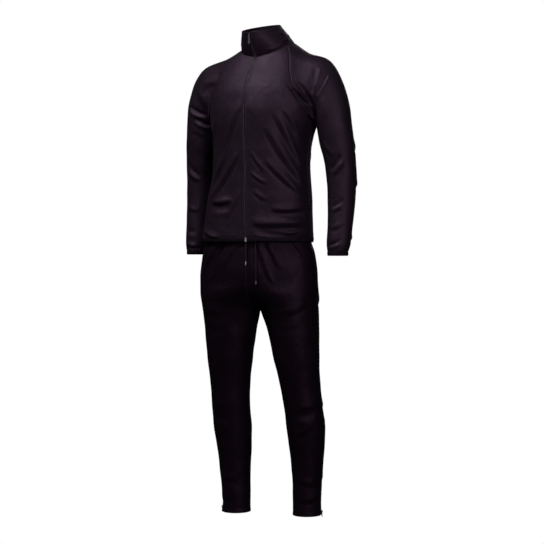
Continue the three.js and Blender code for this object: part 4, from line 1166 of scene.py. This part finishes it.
def elastic(name, dark, light):
    """Ribbed elastic: ridges across the strip and a fine weave along it. The tone is darker in the grooves
    between the ribs, which is painted shade.
    """
    strip = Finish(name)
    cut, _, _ = strip.surface_map("cut")
    rib = strip.ridges(cut, "Y", RIB_PITCH, 0.4)
    # painted shade: the tone is darker in the grooves between the ribs, where the relief is low
    tone = strip.mixed(rib, dark, light)
    weave = strip.math("MULTIPLY", strip.ridges(cut, "X", 0.001), 0.4)
    relief = strip.bump(strip.noise(60.0, 3.0), 0.0006)
    relief = strip.bump(strip.math("ADD", rib, weave), 0.00022, relief)
    return strip.finish(Base_Color=tone, Roughness=strip.spread(strip.noise(40.0), 0.6, 0.75),
                        Normal=relief, Specular_IOR_Level=0.20, Specular_Tint=TINT)


def twill(name, dark, light):
    """Woven tape: slanting ridges, from the sum of the map's two directions. The tone is darker in the
    hollows of the weave, which is painted shade.
    """
    tape = Finish(name)
    _, x, y = tape.surface_map("cut")
    slant = tape.math("SINE", tape.math("MULTIPLY", tape.math("ADD", x, y), TURN / TWILL_PITCH))
    cross = tape.math("SINE", tape.math("MULTIPLY", y, TURN / WEFT_PITCH))
    weave = tape.math("MULTIPLY_ADD", slant, 0.35, tape.math("MULTIPLY_ADD", cross, 0.15, 0.5))
    # painted shade: the tone is darker where the weave's relief is low, in its hollows
    tone, roughness = tape.mixed(weave, dark, light), tape.spread(tape.noise(50.0), 0.6, 0.72)
    return tape.finish(Base_Color=tone, Roughness=roughness, Normal=tape.bump(weave, 0.00018),
                       Specular_IOR_Level=0.35)


def plastic(name):
    """Moulded teeth: black plastic painted a lighter grey, a painted highlight that shows the zip as a
    light line, with a gloss that small scuffs take off.
    """
    moulded = Finish(name)
    scuff = moulded.noise(220.0, 4.0)
    # painted highlight: both tones are a lighter grey than black plastic, so the zip shows as a light line
    tone = moulded.mixed(moulded.spread(scuff, 0.0, 1.0), (0.050, 0.038, 0.050), (0.085, 0.068, 0.085))
    return moulded.finish(Base_Color=tone, Roughness=moulded.spread(scuff, 0.28, 0.45),
                          Normal=moulded.bump(scuff, 0.00006), Specular_IOR_Level=0.55)


def braid(name):
    """Round braid: two sets of strands that cross, each a sine of the sum or difference of the maps.
    The tone is darker between the strands, which is painted shade.
    """
    cord = Finish(name)
    _, x, y = cord.surface_map("cut")
    lines = []
    for hand in (1, -1):
        along = cord.math("MULTIPLY", y, TURN / BRAID_PITCH)
        slant = cord.math("MULTIPLY_ADD", x, hand * BRAID_STRANDS / (CORD_RADIUS * MM), along)
        lines.append(cord.math("SINE", slant))
    strands = cord.math("MAXIMUM", *lines)
    # painted shade: the tone is darker between the strands, where the relief is low
    tone = cord.mixed(cord.spread(strands, 0.1, 0.9), (0.016, 0.011, 0.016), (0.042, 0.032, 0.042))
    return cord.finish(Base_Color=tone, Roughness=cord.spread(cord.noise(300.0), 0.6, 0.75),
                       Normal=cord.bump(strands, 0.0005), Specular_IOR_Level=0.20, Specular_Tint=TINT)


def metal(name, dull, bright, share):
    """Plated metal: fine brushing, and patches rubbed smoother and brighter. share is how much of the
    surface is bare metal and not lacquer."""
    plate = Finish(name)
    brush = plate.noise(500.0, 2.0, stretch=(1.0, 1.0, 0.08))
    rubbed = plate.noise(90.0, 4.0)
    tone = plate.mixed(plate.spread(rubbed, 0.0, 1.0), dull, bright)
    return plate.finish(Base_Color=tone, Metallic=share, Roughness=plate.spread(rubbed, 0.38, 0.22),
                        Normal=plate.bump(brush, 0.00003))


binding_finish = elastic("ribbed_elastic", (0.008, 0.0050, 0.008), (0.015, 0.010, 0.015))
tape_finish = twill("zip_tape", (0.005, 0.004, 0.005), (0.011, 0.008, 0.011))
teeth_finish_with_painted_highlight = plastic("zip_teeth")
braid_finish = braid("braided_cord")
metal_finish = metal("plated_metal", (0.30, 0.29, 0.30), (0.50, 0.49, 0.50), 1.0)
box_finish = metal("bright_box", (0.62, 0.61, 0.62), (0.80, 0.79, 0.80), 0.35)
for name, piece in trims.items():
    piece.data.materials.append(binding_finish)
for teeth, tape in zips:
    teeth.data.materials.append(teeth_finish_with_painted_highlight)
    tape.data.materials.append(tape_finish)
for cord in cords.values():
    cord.data.materials.append(braid_finish)
hard = [name for name in frame["nodes"] if name.endswith(("slider", "pull", "box")) or "tip" in name]
for name in hard:
    for place in frame["nodes"][name].material_slots:
        place.material = box_finish if name == "zip_box" else metal_finish
print("metal pieces:", sorted(hard))

# %% [markdown]
# The studio is a pale floor that runs out of sight and a white surround. A wide light hangs above and
# in front, so that the chest and the tops of the sleeves catch it and the cloth below them falls into
# shade. Weak broad lights at the left, at the right and behind keep the rest from going quite black.

# %% Floor, surround and lights
FLOOR, FLOOR_HALF = -1.62, 40
FLOOR_TONE = (0.06, 0.06, 0.06)  # what the light meets, while the camera sees it white
SURROUND = 0.015  # the same for the white all round
LIGHTS = {  # place, aim, size and power of each
    "above_front": ((-0.62, -1.35, 1.85), (0.0, 0.0, -0.25), 1.0, 38),
    "left_fill": ((2.6, -1.9, 0.2), (0.1, 0, -0.4), 1.4, 24),
    "right_fill": ((-2.6, -2.8, 0.2), (-0.1, 0, -0.6), 2.0, 2.2),
    "back_fill": ((-0.6, 3.4, 0.8), (0, 0, -0.6), 1.6, 10),
}

far = np.linspace(-FLOOR_HALF, FLOOR_HALF, 9)
x, y = np.meshgrid(far, far)
floor = grid_mesh("floor", np.stack([x, y, 0 * x + FLOOR], -1) / MM)
studio = Finish("floor_paint")
studio.finish(Base_Color=FLOOR_TONE, Roughness=0.9)
glow = studio.node("Emission", "Emission", Strength=1.0)
seen = studio.node("LightPath", "Is Camera Ray")
blend = studio.tree.nodes.new("ShaderNodeMixShader")
for socket, value in zip(blend.inputs, (seen, studio.shader.outputs[0], glow)):
    studio.feed(socket, value)
studio.feed(studio.tree.nodes["Material Output"].inputs["Surface"], blend.outputs[0])
floor.data.materials.append(studio.material)

world = bpy.data.worlds.new("surround")
world.use_nodes = True
sky = world.node_tree
ray = sky.nodes.new("ShaderNodeLightPath")
amount = sky.nodes.new("ShaderNodeMapRange")
amount.inputs["To Min"].default_value = SURROUND
amount.inputs["To Max"].default_value = 1.0
sky.links.new(ray.outputs["Is Camera Ray"], amount.inputs["Value"])
sky.nodes["Background"].inputs["Color"].default_value = (1, 1, 1, 1)
sky.links.new(amount.outputs["Result"], sky.nodes["Background"].inputs["Strength"])
bpy.context.scene.world = world
bpy.context.scene.view_settings.view_transform = "Standard"

for name, (place, aim, size, power) in LIGHTS.items():
    lamp = bpy.data.lights.new(name, "AREA")
    lamp.shape = "SQUARE"
    lamp.size = size
    lamp.energy = power
    item = linked(name, lamp)
    item.location = place
    item.rotation_euler = (Vector(aim) - Vector(place)).to_track_quat("-Z", "Y").to_euler()
print("floor at", FLOOR, "lights:", len(LIGHTS))
